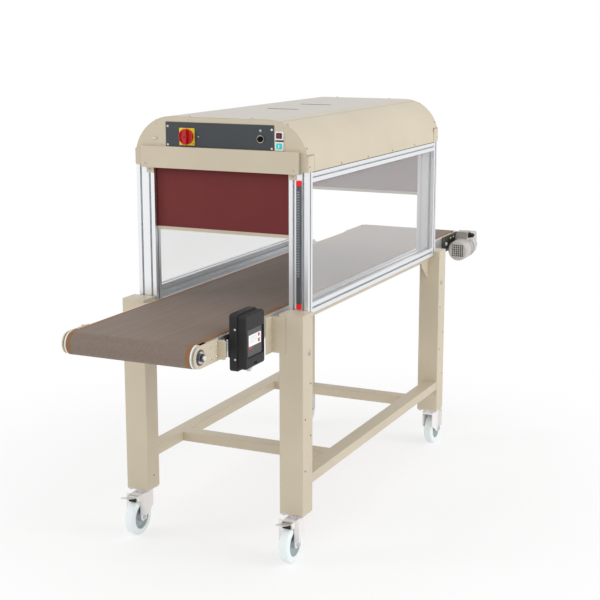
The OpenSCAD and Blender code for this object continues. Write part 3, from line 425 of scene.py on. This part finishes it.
def slab(width, height, thick, radius, edge=0.4, back=0):
    """A round-cornered plate: four quarter arcs give the outline, which draws in by edge at the top and by
    back at the bottom. In millimetres."""
    arc_n = 5
    turn = np.linspace(0, math.pi / 2, arc_n)
    angle = (turn[None] + np.arange(4)[:, None] * math.pi / 2).ravel()
    quarters = np.repeat([[1, 1], [-1, 1], [-1, -1], [1, -1]], arc_n, 0)
    corner = quarters * [width / 2 - radius, height / 2 - radius]
    round_out = np.column_stack([np.cos(angle), np.sin(angle)])
    foot = [(0, radius - back), (back, radius)] if back else [(0, radius)]
    levels = foot + [(thick - edge, radius), (thick, radius - edge)]
    rings = [np.column_stack([corner + r * round_out, np.full(len(angle), z)]) for z, r in levels]
    return stacked(np.array(rings) * MM)


def ring_mark(outer, inner, thick, segments=24):
    """A flat ring: the outline runs out along the face, over the edge and back along the inner edge, closed
    on itself. In millimetres."""
    r, h = np.array([(inner, 0), (outer, 0), (outer, thick), (inner, thick)], float).T * MM
    angle = np.linspace(0, math.tau, segments, endpoint=False)
    faces = grid_faces(len(r) + 1, segments, wrap=True) % (len(r) * segments)
    return circles(r, h, angle).reshape(-1, 3), faces.tolist()


def domed_screw(d, h):
    """A button-head screw with a socket: a quarter-ellipse profile, r = d / 2 cos t and z = h sin t, then
    the socket."""
    dome = [(d / 2 * math.cos(t), h * math.sin(t)) for t in np.radians([0, 25, 45, 60])]
    socket = [(d * 0.24, h * 0.92), (d * 0.2, h * 0.35)]
    return turned([(d / 2, -SUNK)] + dome + socket, 18)


def hex_head(across_flats, h):
    """A hexagon head with its upper edge chamfered: a revolve in six steps, r = half the flats / cos 30."""
    r = across_flats / 2 / math.cos(math.pi / 6)
    return turned([(r, -SUNK), (r, h * 0.8), (r * 0.88, h)], 6)


def washer(d, h):
    """A plain washer, shown as a revolved disc with a small chamfer, whose hole the head above it covers."""
    return turned([(d / 2, -SUNK), (d / 2, h * 0.7), (d / 2 - h * 0.3, h)], 28)


def copies(shape, spots, normals):
    """Copies of a shape with its origin at each spot and its Z axis along the spot's normal."""
    verts, faces = shape
    normals = normals / np.linalg.norm(normals, axis=1, keepdims=True)
    helper = np.where(np.abs(normals[:, 2:]) > 0.9, [[1.0, 0, 0]], [[0, 0, 1.0]])
    across = np.cross(helper, normals)
    across /= np.linalg.norm(across, axis=1, keepdims=True)
    upward = np.cross(normals, across)
    axes = np.stack([across, upward, normals], 1)
    points = spots[:, None] + np.einsum("va,kab->kvb", verts, axes)
    moved = [[i + k * len(verts) for i in face] for k in range(len(spots)) for face in faces]
    return points.reshape(-1, 3), moved


def placed(shape, places):
    """Copies of a shape at each (spot in millimetres, normal)."""
    spots = np.array([spot for spot, normal in places], float) * MM
    normals = np.array([normal for spot, normal in places], float)
    return copies(shape, spots, normals)


def joined(*shapes):
    """Several shapes as one list of points and faces."""
    starts = np.cumsum([0] + [len(verts) for verts, faces in shapes])
    verts = np.concatenate([verts for verts, faces in shapes])
    parts = [part for points, part in shapes]
    faces = [[i + int(start) for i in face] for start, part in zip(starts, parts) for face in part]
    return verts, faces


def fasten(name, shape, places, material=zinc, body=ROOT):
    """One piece with a copy of a fitting at each (spot in millimetres, normal)."""
    return make_piece(name, placed(shape, places), material, body)


def mm(node, corner, axis):
    """A node's low or high face along an axis, in millimetres."""
    return float({"low": low, "high": high}[corner][node]["xyz".index(axis)] / MM)


def centre(node, axis):
    """The middle of a node's box along an axis, in millimetres."""
    return (mm(node, "low", axis) + mm(node, "high", axis)) / 2


def both_sides(x, y, z):
    """A spot and its mirror image across the belt, with their normals outwards."""
    return [((side * x, y, z), (side, 0, 0)) for side in (-1, 1)]


def four_sides(x, y, z):
    """A spot at each of the machine's four corners that faces out to the side."""
    return [((side * x, end * y, z), (side, 0, 0)) for side, end in CORNERS]


def four_ends(x, y, z):
    """A spot at each of the machine's four corners that faces out along the belt."""
    return [((side * x, end * y, z), (0, end, 0)) for side, end in CORNERS]


# The front and rear curtains: reach into the guide slots, thickness, hem and wave, in millimetres

SLOT_REACH = 7.5
CLOTH_T = 0.8
HEM = 4
WAVE = 0.4


def curtain_sheet(end, side):
    """A hung sheet: across u and down v, with a shallow wave that fades to nothing at every edge. Below its
    upper fifth its edges reach into the posts' guide slots, wider by a smooth step 3 s^2 - 2 s^3 of v."""
    columns, rows = 61, 41
    bottom, top = low[end + "_curtain"], high[end + "_curtain"]
    u, v = np.meshgrid(np.linspace(0, 1, columns), np.linspace(0, 1, rows), indexing="ij")
    bow = WAVE * MM * np.sin(math.pi * u) * np.sin(math.pi * v) * np.sin(3 * math.pi * u)
    hem = HEM * MM
    step = np.clip(v / 0.2, 0, 1)
    into_slot = SLOT_REACH * MM * (3 * step ** 2 - 2 * step ** 3)
    half = (top[0] - bottom[0]) / 2 + into_slot
    x = (top[0] + bottom[0]) / 2 + half * (2 * u - 1)
    z = top[2] + (bottom[2] - hem - top[2]) * v
    y = (bottom[1] + top[1]) / 2 + side * bow
    shape = np.stack([x, y, z], -1).reshape(-1, 3), grid_faces(columns, rows)
    piece = make_piece(end + "_curtain_cloth", shape, cloth, None)
    thick = piece.modifiers.new("cloth thickness", "SOLIDIFY")
    thick.thickness = CLOTH_T * MM
    thick.offset = 0
    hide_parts(end + "_curtain")
    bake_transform(piece)


curtain_sheet("front", -1)
curtain_sheet("rear", 1)


# Hood fittings; the hood's sheet and arch, its corner plates and its vent slots are sized in millimetres

HOOD_SHEET = 2.3
HOOD_R = 165
EDGE_IN = 12
TAB_W, TAB_H, TAB_Z = 54, 56, 5
VENT_N, VENT_ROW, VENT_Y = 8, 112, 165
VENT_W, VENT_L = 6, 36
hood_x = mm("hood_front_panel", "high", "x") + HOOD_SHEET
hood_y = mm("hood_cover", "high", "y")
hood_z0 = mm("hood_cover", "low", "z")
hood_z1 = mm("hood_cover", "high", "z")


def arch_spot(side, angle, y, depth=0):
    """A spot on the hood's arch and its normal: the arc's middle, plus the radius less a depth along the
    normal."""
    out = np.array([side * math.cos(angle), 0, math.sin(angle)])
    middle = np.array([side * (hood_x - HOOD_R), y, hood_z1 - HOOD_R])
    return middle + (HOOD_R - depth) * out, out


def hood_screws():
    """Screws through the hood's ends into the panels' flanges, spread over its arch, a row along each side,
    and small ones on the end panels near their upper edges."""
    top_x, side_rise = 134, 20
    row_n, row_pitch, row_rise = 4, 278, 8
    places = []
    for side, end in CORNERS:
        y = end * (hood_y - EDGE_IN)
        places.append(((side * top_x, y, hood_z1), UP))
        places.append(((side * hood_x, y, hood_z0 + side_rise), (side, 0, 0)))
        places += [arch_spot(side, angle, y) for angle in np.radians([22, 63])]
    for side in (-1, 1):
        for i in range(row_n):
            y = (i - (row_n - 1) / 2) * row_pitch
            places.append(((side * hood_x, y, hood_z0 + row_rise), (side, 0, 0)))
    fasten("hood_screws", domed_screw(9, 3), places, dull_zinc)
    rows = ((131, hood_z1 - 9), (272, hood_z1 - 27))
    places = [((side * x, end * hood_y, z), (0, end, 0)) for side, end in CORNERS for x, z in rows]
    fasten("panel_edge_screws", domed_screw(7, 2), places)


def hood_bends():
    """A shallow ridge along the hood where its sheet was bent, a little way down each side of the arch, in a
    darker beige that paints the crease's shade."""
    angle, depth = math.radians(72), 0.5
    places = [arch_spot(side, angle, 0, depth) for side in (-1, 1)]
    fasten("hood_bends", slab(2 * hood_y - 4, 11, 0.8, 1, 0.3), places, crease_shade_beige)


def cover_fittings():
    """Screws in the ends of the curtain covers and in the small plates below them, and the covers' end caps,
    in a darker beige that paints the shade at the covers' ends."""
    face = mm("rear_curtain_cover", "high", "y")
    plate = mm("curtain_brackets", "high", "y")
    cover_z0 = mm("rear_curtain_cover", "low", "z")
    places = four_ends(320, face, cover_z0 + 17) + four_ends(309, plate, cover_z0 - 10)
    fasten("cover_screws", domed_screw(8, 3), places)
    deep = face - mm("rear_curtain_cover", "low", "y")
    tall = mm("rear_curtain_cover", "high", "z") - cover_z0
    side_x = mm("rear_curtain_cover", "high", "x")
    places = four_sides(side_x, face - deep / 2, cover_z0 + tall / 2)
    # The end caps' darker beige is painted shade.
    fasten("cover_end_caps", slab(deep - 2, tall - 3, 1, 1.5, 0.3), places, end_shade_beige)


def hood_seals():
    """A rubber strip between the hood's lower edge and the tunnel rail on each side."""
    rail_x = mm("tunnel_rails", "high", "x")
    length = mm("tunnel_rails", "high", "y") * 2
    places = both_sides(rail_x, 0, hood_z0 - 1.6)
    fasten("hood_seals", slab(length, 2.6, 0.9, 0.5, 0.2), places, rubber)


def tab_joints():
    """Dark beads along the gap between the hood's curve and the upper and inner edges of its corner plates,
    whose brown paints the shadow in that gap, and beads in the beige coat at the plates' outer edges."""
    bead, deep, off = 2.6, 5.2, 1.2
    x = hood_x - 4.6
    z = hood_z0 + TAB_Z + TAB_H / 2
    places = four_sides(x, hood_y - TAB_W - off, z)
    # The brown beads are painted shadow in the gaps.
    fasten("tab_side_shadow_gaps", slab(bead, TAB_H, deep, 1, 0.2), places, shadow_gap_beige)
    places = four_sides(x, hood_y - TAB_W / 2, z + TAB_H / 2 + off)
    fasten("tab_top_shadow_gaps", slab(TAB_W, bead, deep, 1, 0.2), places, shadow_gap_beige)
    places = four_sides(x, hood_y - 1.4, z)
    fasten("tab_front_joints", slab(2.4, TAB_H, deep, 1, 0.2), places, beige)


def vent_shade_inserts():
    """A dark insert in each vent slot, a little proud of the hood's top, whose black paints the shade inside
    the slot.
    """
    gap, thick, proud = 0.4, 2.6, 0.8
    insert = slab(VENT_W - gap, VENT_L - gap, thick, 2.4, 0.8)
    pitch = VENT_ROW / (VENT_N - 1)
    across = [(i - (VENT_N - 1) / 2) * pitch for i in range(VENT_N)]
    foot_z = hood_z1 - (thick - proud)
    places = [((x, end * VENT_Y, foot_z), UP) for x in across for end in (-1, 1)]
    # Black inserts as painted shade inside the vent slots.
    fasten("vent_shade_inserts", insert, places, dark_coat)


hood_screws()
hood_bends()
cover_fittings()
hood_seals()
tab_joints()
vent_shade_inserts()


# Control panel fittings

BAR_W = 18


def panel_fittings():
    """Corner screws, a small lamp and a stud on the control plate, the catch beside it and the strip between
    the keys."""
    face = mm("control_plate", "low", "y")
    plate_z0 = mm("control_plate", "low", "z")
    screw_x = mm("control_plate", "high", "x") - 9
    heights = (plate_z0 + 7, plate_z0 + 78)
    places = [((side * screw_x, face, z), FRONT) for side in (-1, 1) for z in heights]
    fasten("panel_screws", domed_screw(9, 3), places, white)
    lamp = turned([(5, -SUNK), (5, 1), (4, 2.4), (1.6, 3)], 20)
    fasten("panel_lamp", lamp, [((177, face, plate_z0 + 73.5), FRONT)], lamp_glass)
    stud = turned([(3, -SUNK), (3, 1), (1, 2)], 16)
    fasten("panel_stud", stud, [((-89, face, plate_z0 + 40.5), FRONT)], chrome)
    panel = mm("hood_front_panel", "low", "y")
    fasten("panel_catch", slab(20, 9, 5, 3), [((-286, panel, 1608), FRONT)], ivory)
    spot = (centre("key_bezels", "x"), panel, centre("key_bezels", "z"))
    fasten("key_divider", slab(32, 5, 3, 1), [(spot, FRONT)], black)


def control_marks():
    """Plain 0 and I marks on the switch plate and the keys, and the screw in the knob."""
    switch_x, switch_z = centre("switch_plate", "x"), centre("switch_plate", "z")
    face = mm("switch_plate", "low", "y")
    mark_x, mark_rise = switch_x + 28, 27
    places = [((mark_x, face, switch_z + mark_rise), FRONT)]
    fasten("switch_bar_mark", slab(1.6, 6, 0.4, 0.6, 0.1), places, black)
    places = [((mark_x, face, switch_z - mark_rise), FRONT)]
    fasten("switch_ring_mark", ring_mark(3, 2, 0.4), places, black)
    screw = turned([(3.4, -SUNK), (3.4, 0.5), (2.4, 0.9)], 18)
    places = [((switch_x, mm("switch_knob", "low", "y"), switch_z), FRONT)]
    fasten("knob_screw", screw, places, black, "switch_knob")
    for name, shape, ink, slot in (("stop", ring_mark(5.5, 3, 0.5), print_red, "red_plastic"),
                                   ("start", slab(3, 13, 0.5, 1, 0.1), white, "white_plastic")):
        node = name + "_key"
        spot = (centre(node, "x"), mm(node, "low", "y"), centre(node, "z"))
        fasten(name + "_key_mark", shape, [(spot, FRONT)], ink, node)


def light_bar_case():
    """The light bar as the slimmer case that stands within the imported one, its end caps and its row of
    oblong lenses."""
    x = centre("light_bar", "x")
    z0, z1 = mm("light_bar", "low", "z"), mm("light_bar", "high", "z")
    face, back = mm("light_bar", "low", "y"), mm("light_bar", "high", "y")
    shape = slab(BAR_W, z1 - z0, back - face, 1.5, 0.8)
    case = fasten("bar_case", shape, [((x, back, (z0 + z1) / 2), FRONT)], grey_body)
    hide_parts("light_bar")
    cap = z0 - mm("light_bar_caps", "low", "z")
    shape = slab(BAR_W + 0.6, cap, back - face + 1, 2.5, 1.2)
    places = [((x, back, z), FRONT) for z in (z0 - cap / 2, z1 + cap / 2)]
    caps = fasten("bar_end_caps", shape, places, cap_red)
    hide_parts("light_bar_caps")
    lens_n, lens_pitch, lens_z1 = 33, 10, z1 - 22
    lens = slab(BAR_W - 6, 5.4, 0.8, 2.4, 0.5)
    places = [((x, face, lens_z1 - lens_pitch * i), FRONT) for i in range(lens_n)]
    fasten("bar_lenses", lens, places, lens_glass)


panel_fittings()
control_marks()
light_bar_case()


# Operator box fittings

SCREEN_W, SCREEN_H = 95, 41
screen_y0 = mm("display_glass", "low", "y") + 17
screen_z1 = mm("display_glass", "high", "z") - 22


def screen_fittings():
    """A white screen on the display's glass with plain red and grey marks on it, and a red key below it."""
    glass_x = mm("display_glass", "high", "x")
    lit_t = 0.5
    spot = (glass_x, screen_y0 + SCREEN_W / 2, screen_z1 - SCREEN_H / 2)
    picture = slab(SCREEN_W, SCREEN_H, lit_t, 1.5, 0.2)
    fasten("screen_picture", picture, [(spot, RIGHT)], screen_white)
    face = glass_x + lit_t
    column = screen_y0 + SCREEN_W - 17
    dot = turned([(6.5, 0), (6.5, 0.3), (6.3, 0.4)], 24)
    square = slab(13, 13, 0.4, 2, 0.1)
    key = slab(24, 7, 0.4, 1, 0.1)
    marks = joined(placed(dot, [((face, column, screen_z1 - 9), RIGHT)]),
                   placed(square, [((face, column, screen_z1 - 29), RIGHT)]),
                   placed(key, [((glass_x, screen_y0 + 15, screen_z1 - SCREEN_H - 6), RIGHT)]))
    make_piece("screen_marks", marks, print_red)
    line_n, line_pitch, line_z1 = 4, 7, screen_z1 - 8
    places = [((face, screen_y0 + 36, line_z1 - line_pitch * i), RIGHT) for i in range(line_n)]
    fasten("screen_lines", slab(50, 2, 0.3, 0.8, 0.1), places, print_grey)


def box_fittings():
    """The box's fuller rear shell, its side screws, the gland, a black strip on its lid beside the display
    whose black paints the shade in the recess's gap, and a strip on its bracket."""
    back, side, base_z = [mm("operator_base", "low", axis) for axis in "xyz"]
    drop = 3
    deep = mm("operator_base", "high", "x") - back
    wide = mm("operator_base", "high", "y") - side
    tall = mm("operator_base", "high", "z") - base_z + drop
    spot = (back, side + wide / 2, base_z - drop + tall / 2)
    shape = slab(wide, tall, deep, 10, 2, 4)
    shell = fasten("box_rear_shell", shape, [(spot, RIGHT)], black)
    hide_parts("operator_base")
    places = [((back + 24, side, base_z + rise), FRONT) for rise in (41, 149)]
    fasten("box_screws", domed_screw(9, 2.5), places)
    nut = turned([(13, -SUNK), (13, 4), (12, 5)], 6)
    sleeve = turned([(10, 4.5), (10, 11), (8.5, 14), (5, 15)], 24)
    lid_y = mm("operator_lid", "low", "y")
    spot = (centre("operator_lid", "x"), lid_y + 52, mm("operator_lid", "low", "z"))
    fasten("box_gland", joined(nut, sleeve), [(spot, DOWN)], print_grey)
    # A black strip as painted shade in the gap beside the display.
    spot = (mm("operator_lid", "high", "x"), lid_y + 9, screen_z1 - 31)
    fasten("lid_gap_shade_strip", slab(8, 92, 0.5, 1, 0.2), [(spot, RIGHT)], rubber)
    strip_x = mm("operator_bracket", "low", "x") + 8
    spot = (strip_x, mm("operator_bracket", "low", "y"), centre("operator_bracket", "z"))
    fasten("bracket_strip", slab(6, 62, 0.8, 0.8, 0.2), [(spot, FRONT)], alu_z)


screen_fittings()
box_fittings()


# Conveyor and stand fittings

def conveyor_fittings():
    """Screws in the holes of the nose and drive plates, a washer and a bolt end on each end of the nose
    shaft, and on each drive plate a bolt with its washer and a guard strip along its upper edge, whose olive
    grey paints the shade on a beige plate."""
    plate_x1 = mm("drive_plates", "high", "x")
    tail_y = -mm("nose_plates", "high", "y")
    nose_y, axis_z = centre("nose_shaft", "y"), centre("nose_shaft", "z")
    guard_t, guard_w = 2, 23
    places = []
    for side, end in CORNERS:
        for inset in (15, 59):
            for rise in (-21, 21):
                x = plate_x1 + (guard_t if end > 0 and rise > 0 else 0)
                places.append(((side * x, end * (tail_y + inset), axis_z + rise), (side, 0, 0)))
    fasten("end_plate_screws", domed_screw(11, 4), places)
    bolt_end = turned([(9, -SUNK), (9, 6), (7.5, 8)], 24)
    places = both_sides(mm("nose_shaft", "high", "x"), nose_y, axis_z)
    fasten("nose_bolt_ends", bolt_end, places, white_zinc)
    # The nose washers' dark grey paints the dark reflections of polished washers.
    fasten("nose_washers", washer(56, 2), both_sides(plate_x1, nose_y, axis_z), dark_steel)
    plate_y0, plate_z1 = mm("drive_plates", "low", "y"), mm("drive_plates", "high", "z")
    # The guard strips' olive grey is painted shade.
    guard_l = tail_y + 75 - plate_y0
    places = both_sides(plate_x1, plate_y0 + guard_l / 2, plate_z1 - 12)
    fasten("drive_edge_guards", slab(guard_l, guard_w, guard_t, 3, 0.5), places, guard_shade_olive)
    places = both_sides(plate_x1, plate_y0 + 56, axis_z)
    fasten("drive_plate_bolts", joined(washer(20, 2), hex_head(13, 7)), places, white_zinc)


def leg_fittings():
    """The frame bolts with washers at the tops of the legs, and a staggered line of small screws down each
    leg."""
    leg_x = mm("legs", "high", "x")
    leg_y0 = mm("tunnel_posts", "high", "y") + 5
    inner_x = leg_x - 100
    bolt_y, bolt_z, washer_t = leg_y0 + 31, 824.5, 2.4
    bolts = placed(hex_head(15, 6), four_sides(leg_x + washer_t, bolt_y, bolt_z))
    washers = placed(washer(25, washer_t), four_sides(leg_x, bolt_y, bolt_z))
    small = placed(domed_screw(11, 5), four_sides(leg_x, leg_y0 + 13, 962.5))
    make_piece("leg_bolts", joined(bolts, washers, small), zinc)
    dots = []
    for side, end in CORNERS:
        out = (side, 0, 0)
        dots += [((side * leg_x, end * (leg_y0 + 70), z), out) for z in (366, 572)]
        dots += [((side * leg_x, end * (leg_y0 + 20), z), out) for z in (496, 703)]
        dots.append(((side * inner_x, end * (leg_y0 + 45), 242), (-side, 0, 0)))
    fasten("leg_screws", domed_screw(7, 1.6), dots, dark_steel)


conveyor_fittings()
leg_fittings()


# Drive fittings

def drive_fittings():
    """Screws of the terminal box's lid and of the fan cowl, and the bolts round the gearbox's shaft."""
    motor_x, motor_z = centre("motor_fan", "x"), centre("motor_fan", "z")
    lid_y, lid_z = centre("motor_body", "y"), mm("motor_body", "high", "z")
    screw_in = 22
    places = [((motor_x + screw_in * a, lid_y + screw_in * b, lid_z), UP) for a, b in CORNERS]
    fasten("terminal_screws", domed_screw(7, 2.5), places)
    cowl_r, rim_y = 52, mm("fan_cowl", "high", "y") - 8
    places = []
    for angle in np.radians([30, 150, 270]):
        x, z = math.cos(angle), math.sin(angle)
        places.append(((motor_x + cowl_r * x, rim_y, motor_z + cowl_r * z), (x, 0, z)))
    fasten("cowl_screws", domed_screw(8, 2.5), places)
    side_x = mm("drive_roller", "high", "x")
    axis_y, axis_z = centre("drive_roller", "y"), centre("drive_roller", "z")
    bolt_r = 37
    places = [((side_x, axis_y + bolt_r * math.cos(a), axis_z + bolt_r * math.sin(a)), RIGHT)
              for a in np.radians([45, 135, 225, 315])]
    fasten("gearbox_bolts", hex_head(8, 4), places)


drive_fittings()


# Caster fittings

def caster_fittings():
    """Axle nuts on the forks, bearing rings in the wheels' hubs, the bolts under the top plates, and a black
    rubber pad on the face of each brake shoe, whose black also paints the shade between the fork's legs."""
    trail, nut_x, ring_x = 48, 30, 20
    bolt_x, bolt_y, bolt_z = 38, 33, mm("caster_plates", "high", "z") - 5
    nut = joined(washer(20, 1.6), hex_head(17, 8))
    bolts = []
    for name, (_, end) in zip(CASTERS, CORNERS):
        wheel = name + "_wheel"
        x, y, z = [centre(wheel, axis) for axis in "xyz"]
        places = [((x + side * nut_x, y, z), (side, 0, 0)) for side in (-1, 1)]
        fasten(name + "_axle_nuts", nut, places, zinc, name + "_fork")
        places = [((x + side * ring_x, y, z), (side, 0, 0)) for side in (-1, 1)]
        fasten(name + "_bearing_rings", ring_mark(16, 8, 0.8), places, dark_steel, wheel)
        pin_y = y - end * trail
        bolts += [((x + bolt_x * a, pin_y + bolt_y * b, bolt_z), DOWN) for a, b in CORNERS]
    fasten("caster_plate_bolts", hex_head(13, 5.5), bolts)
    for name in BRAKED:
        pedal = name + "_pedal"
        spot = (centre(pedal, "x"), mm(pedal, "high", "y") - 16, mm(pedal, "low", "z") + 9)
        # Partly a real rubber pad, partly painted shade under the pedal.
        pad = slab(34, 17, 2, 2, 0.5)
        fasten(name + "_brake_pad", pad, [(spot, FRONT)], rubber, pedal)


caster_fittings()


# Stage: floor, light and camera

def seen_share(tree):
    """1 for rays that show the background: straight from the camera, in a reflection or through a clear
    sheet."""
    path = add(tree, "LightPath")
    rays = {0: (path, "Is Camera Ray"), 1: (path, "Is Glossy Ray")}
    seen = add(tree, "Math", operation="MAXIMUM", links=rays)
    rays = {0: (seen, "Value"), 1: (path, "Is Transmission Ray")}
    return add(tree, "Math", operation="MAXIMUM", links=rays)


def pale_floor():
    """A white floor that shows mostly its own white to the camera, so that the object's shadow stays faint,
    and only its own white from 2.4 metres off, so that it meets the background without an edge."""
    white_paint = linear("#FCFCFC")
    material, tree, shader, where = finish("pale studio floor", Roughness=0.95, Base_Color=white_paint)
    output = next(node for node in tree.nodes if node.type == "OUTPUT_MATERIAL")
    reach = add(tree, "VectorMath", operation="LENGTH", links={0: (where, "Object")})
    fade = add(tree, "MapRange", {"From Min": 0.9, "From Max": 2.4, "To Min": 0.66, "To Max": 1.0},
               {"Value": (reach, "Value")}, interpolation_type="SMOOTHSTEP")
    factors = {0: (seen_share(tree), "Value"), 1: (fade, "Result")}
    share = add(tree, "Math", operation="MULTIPLY", links=factors)
    glow = add(tree, "Emission", {"Color": (1, 1, 1, 1), "Strength": 1.0})
    both = add(tree, "MixShader", links={0: (share, "Value"), 1: (shader, "BSDF"), 2: (glow, "Emission")})
    tree.links.new(both.outputs["Shader"], output.inputs["Surface"])
    half = 30.0
    corners = [(-half, -half, 0), (half, -half, 0), (half, half, 0), (-half, half, 0)]
    mesh = bpy.data.meshes.new("floor")
    mesh.from_pydata(corners, [], [(0, 1, 2, 3)])
    mesh.materials.append(material)
    floor = bpy.data.objects.new("floor", mesh)
    bpy.context.scene.collection.objects.link(floor)


def soft_sky():
    """An even white sky: dimmer as a light than as a background."""
    world = bpy.data.worlds.new("studio")
    bpy.context.scene.world = world
    world.use_nodes = True
    tree = world.node_tree
    tree.nodes.clear()
    level = add(tree, "MapRange", {"To Min": 0.74, "To Max": 1.0}, {"Value": (seen_share(tree), "Value")})
    sky = add(tree, "Background", {"Color": (1, 1, 1, 1)}, {"Strength": (level, "Result")})
    add(tree, "OutputWorld", links={"Surface": (sky, "Background")})


def softbox(name, place, size, power):
    """A square lamp that faces the middle of the machine, in metres and watts."""
    machine_middle = np.array([0, 0, 0.9])
    lamp = bpy.data.lights.new(name, "AREA")
    lamp.size = size
    lamp.energy = power
    holder = bpy.data.objects.new(name, lamp)
    bpy.context.scene.collection.objects.link(holder)
    holder.location = place
    aim = machine_middle - np.array(place)
    tilt = math.atan2(math.hypot(aim[0], aim[1]), -aim[2])
    holder.rotation_euler = (tilt, 0, math.atan2(aim[0], -aim[1]) + math.pi)


def photo_camera():
    """The photograph's viewpoint: 24.9 degrees to the right of the belt's line and 11.9 degrees down. The
    lens is the focal length in pixels over the picture's width in pixels, times the sensor's width."""
    sensor, focal_px, picture_px = 36, 1325.95, 600
    down, aside = 11.91, 24.88
    camera = bpy.data.cameras.new("photo view")
    camera.sensor_width = sensor
    camera.lens = focal_px / picture_px * sensor
    camera.clip_end = 100
    eye = bpy.data.objects.new("photo view", camera)
    bpy.context.scene.collection.objects.link(eye)
    eye.location = (2.4089, -5.1917, 2.0555)
    eye.rotation_euler = (math.radians(90 - down), 0, math.radians(aside))
    bpy.context.scene.camera = eye


pale_floor()
soft_sky()
softbox("right softbox", (7.0, 0.5, 4.5), 4.0, 178)
softbox("left softbox", (-7.0, -5.0, 4.0), 3.0, 150)
softbox("front softbox", (3.4, -8.0, 3.2), 3.0, 45)
photo_camera()
bpy.context.scene.view_settings.view_transform = "Standard"
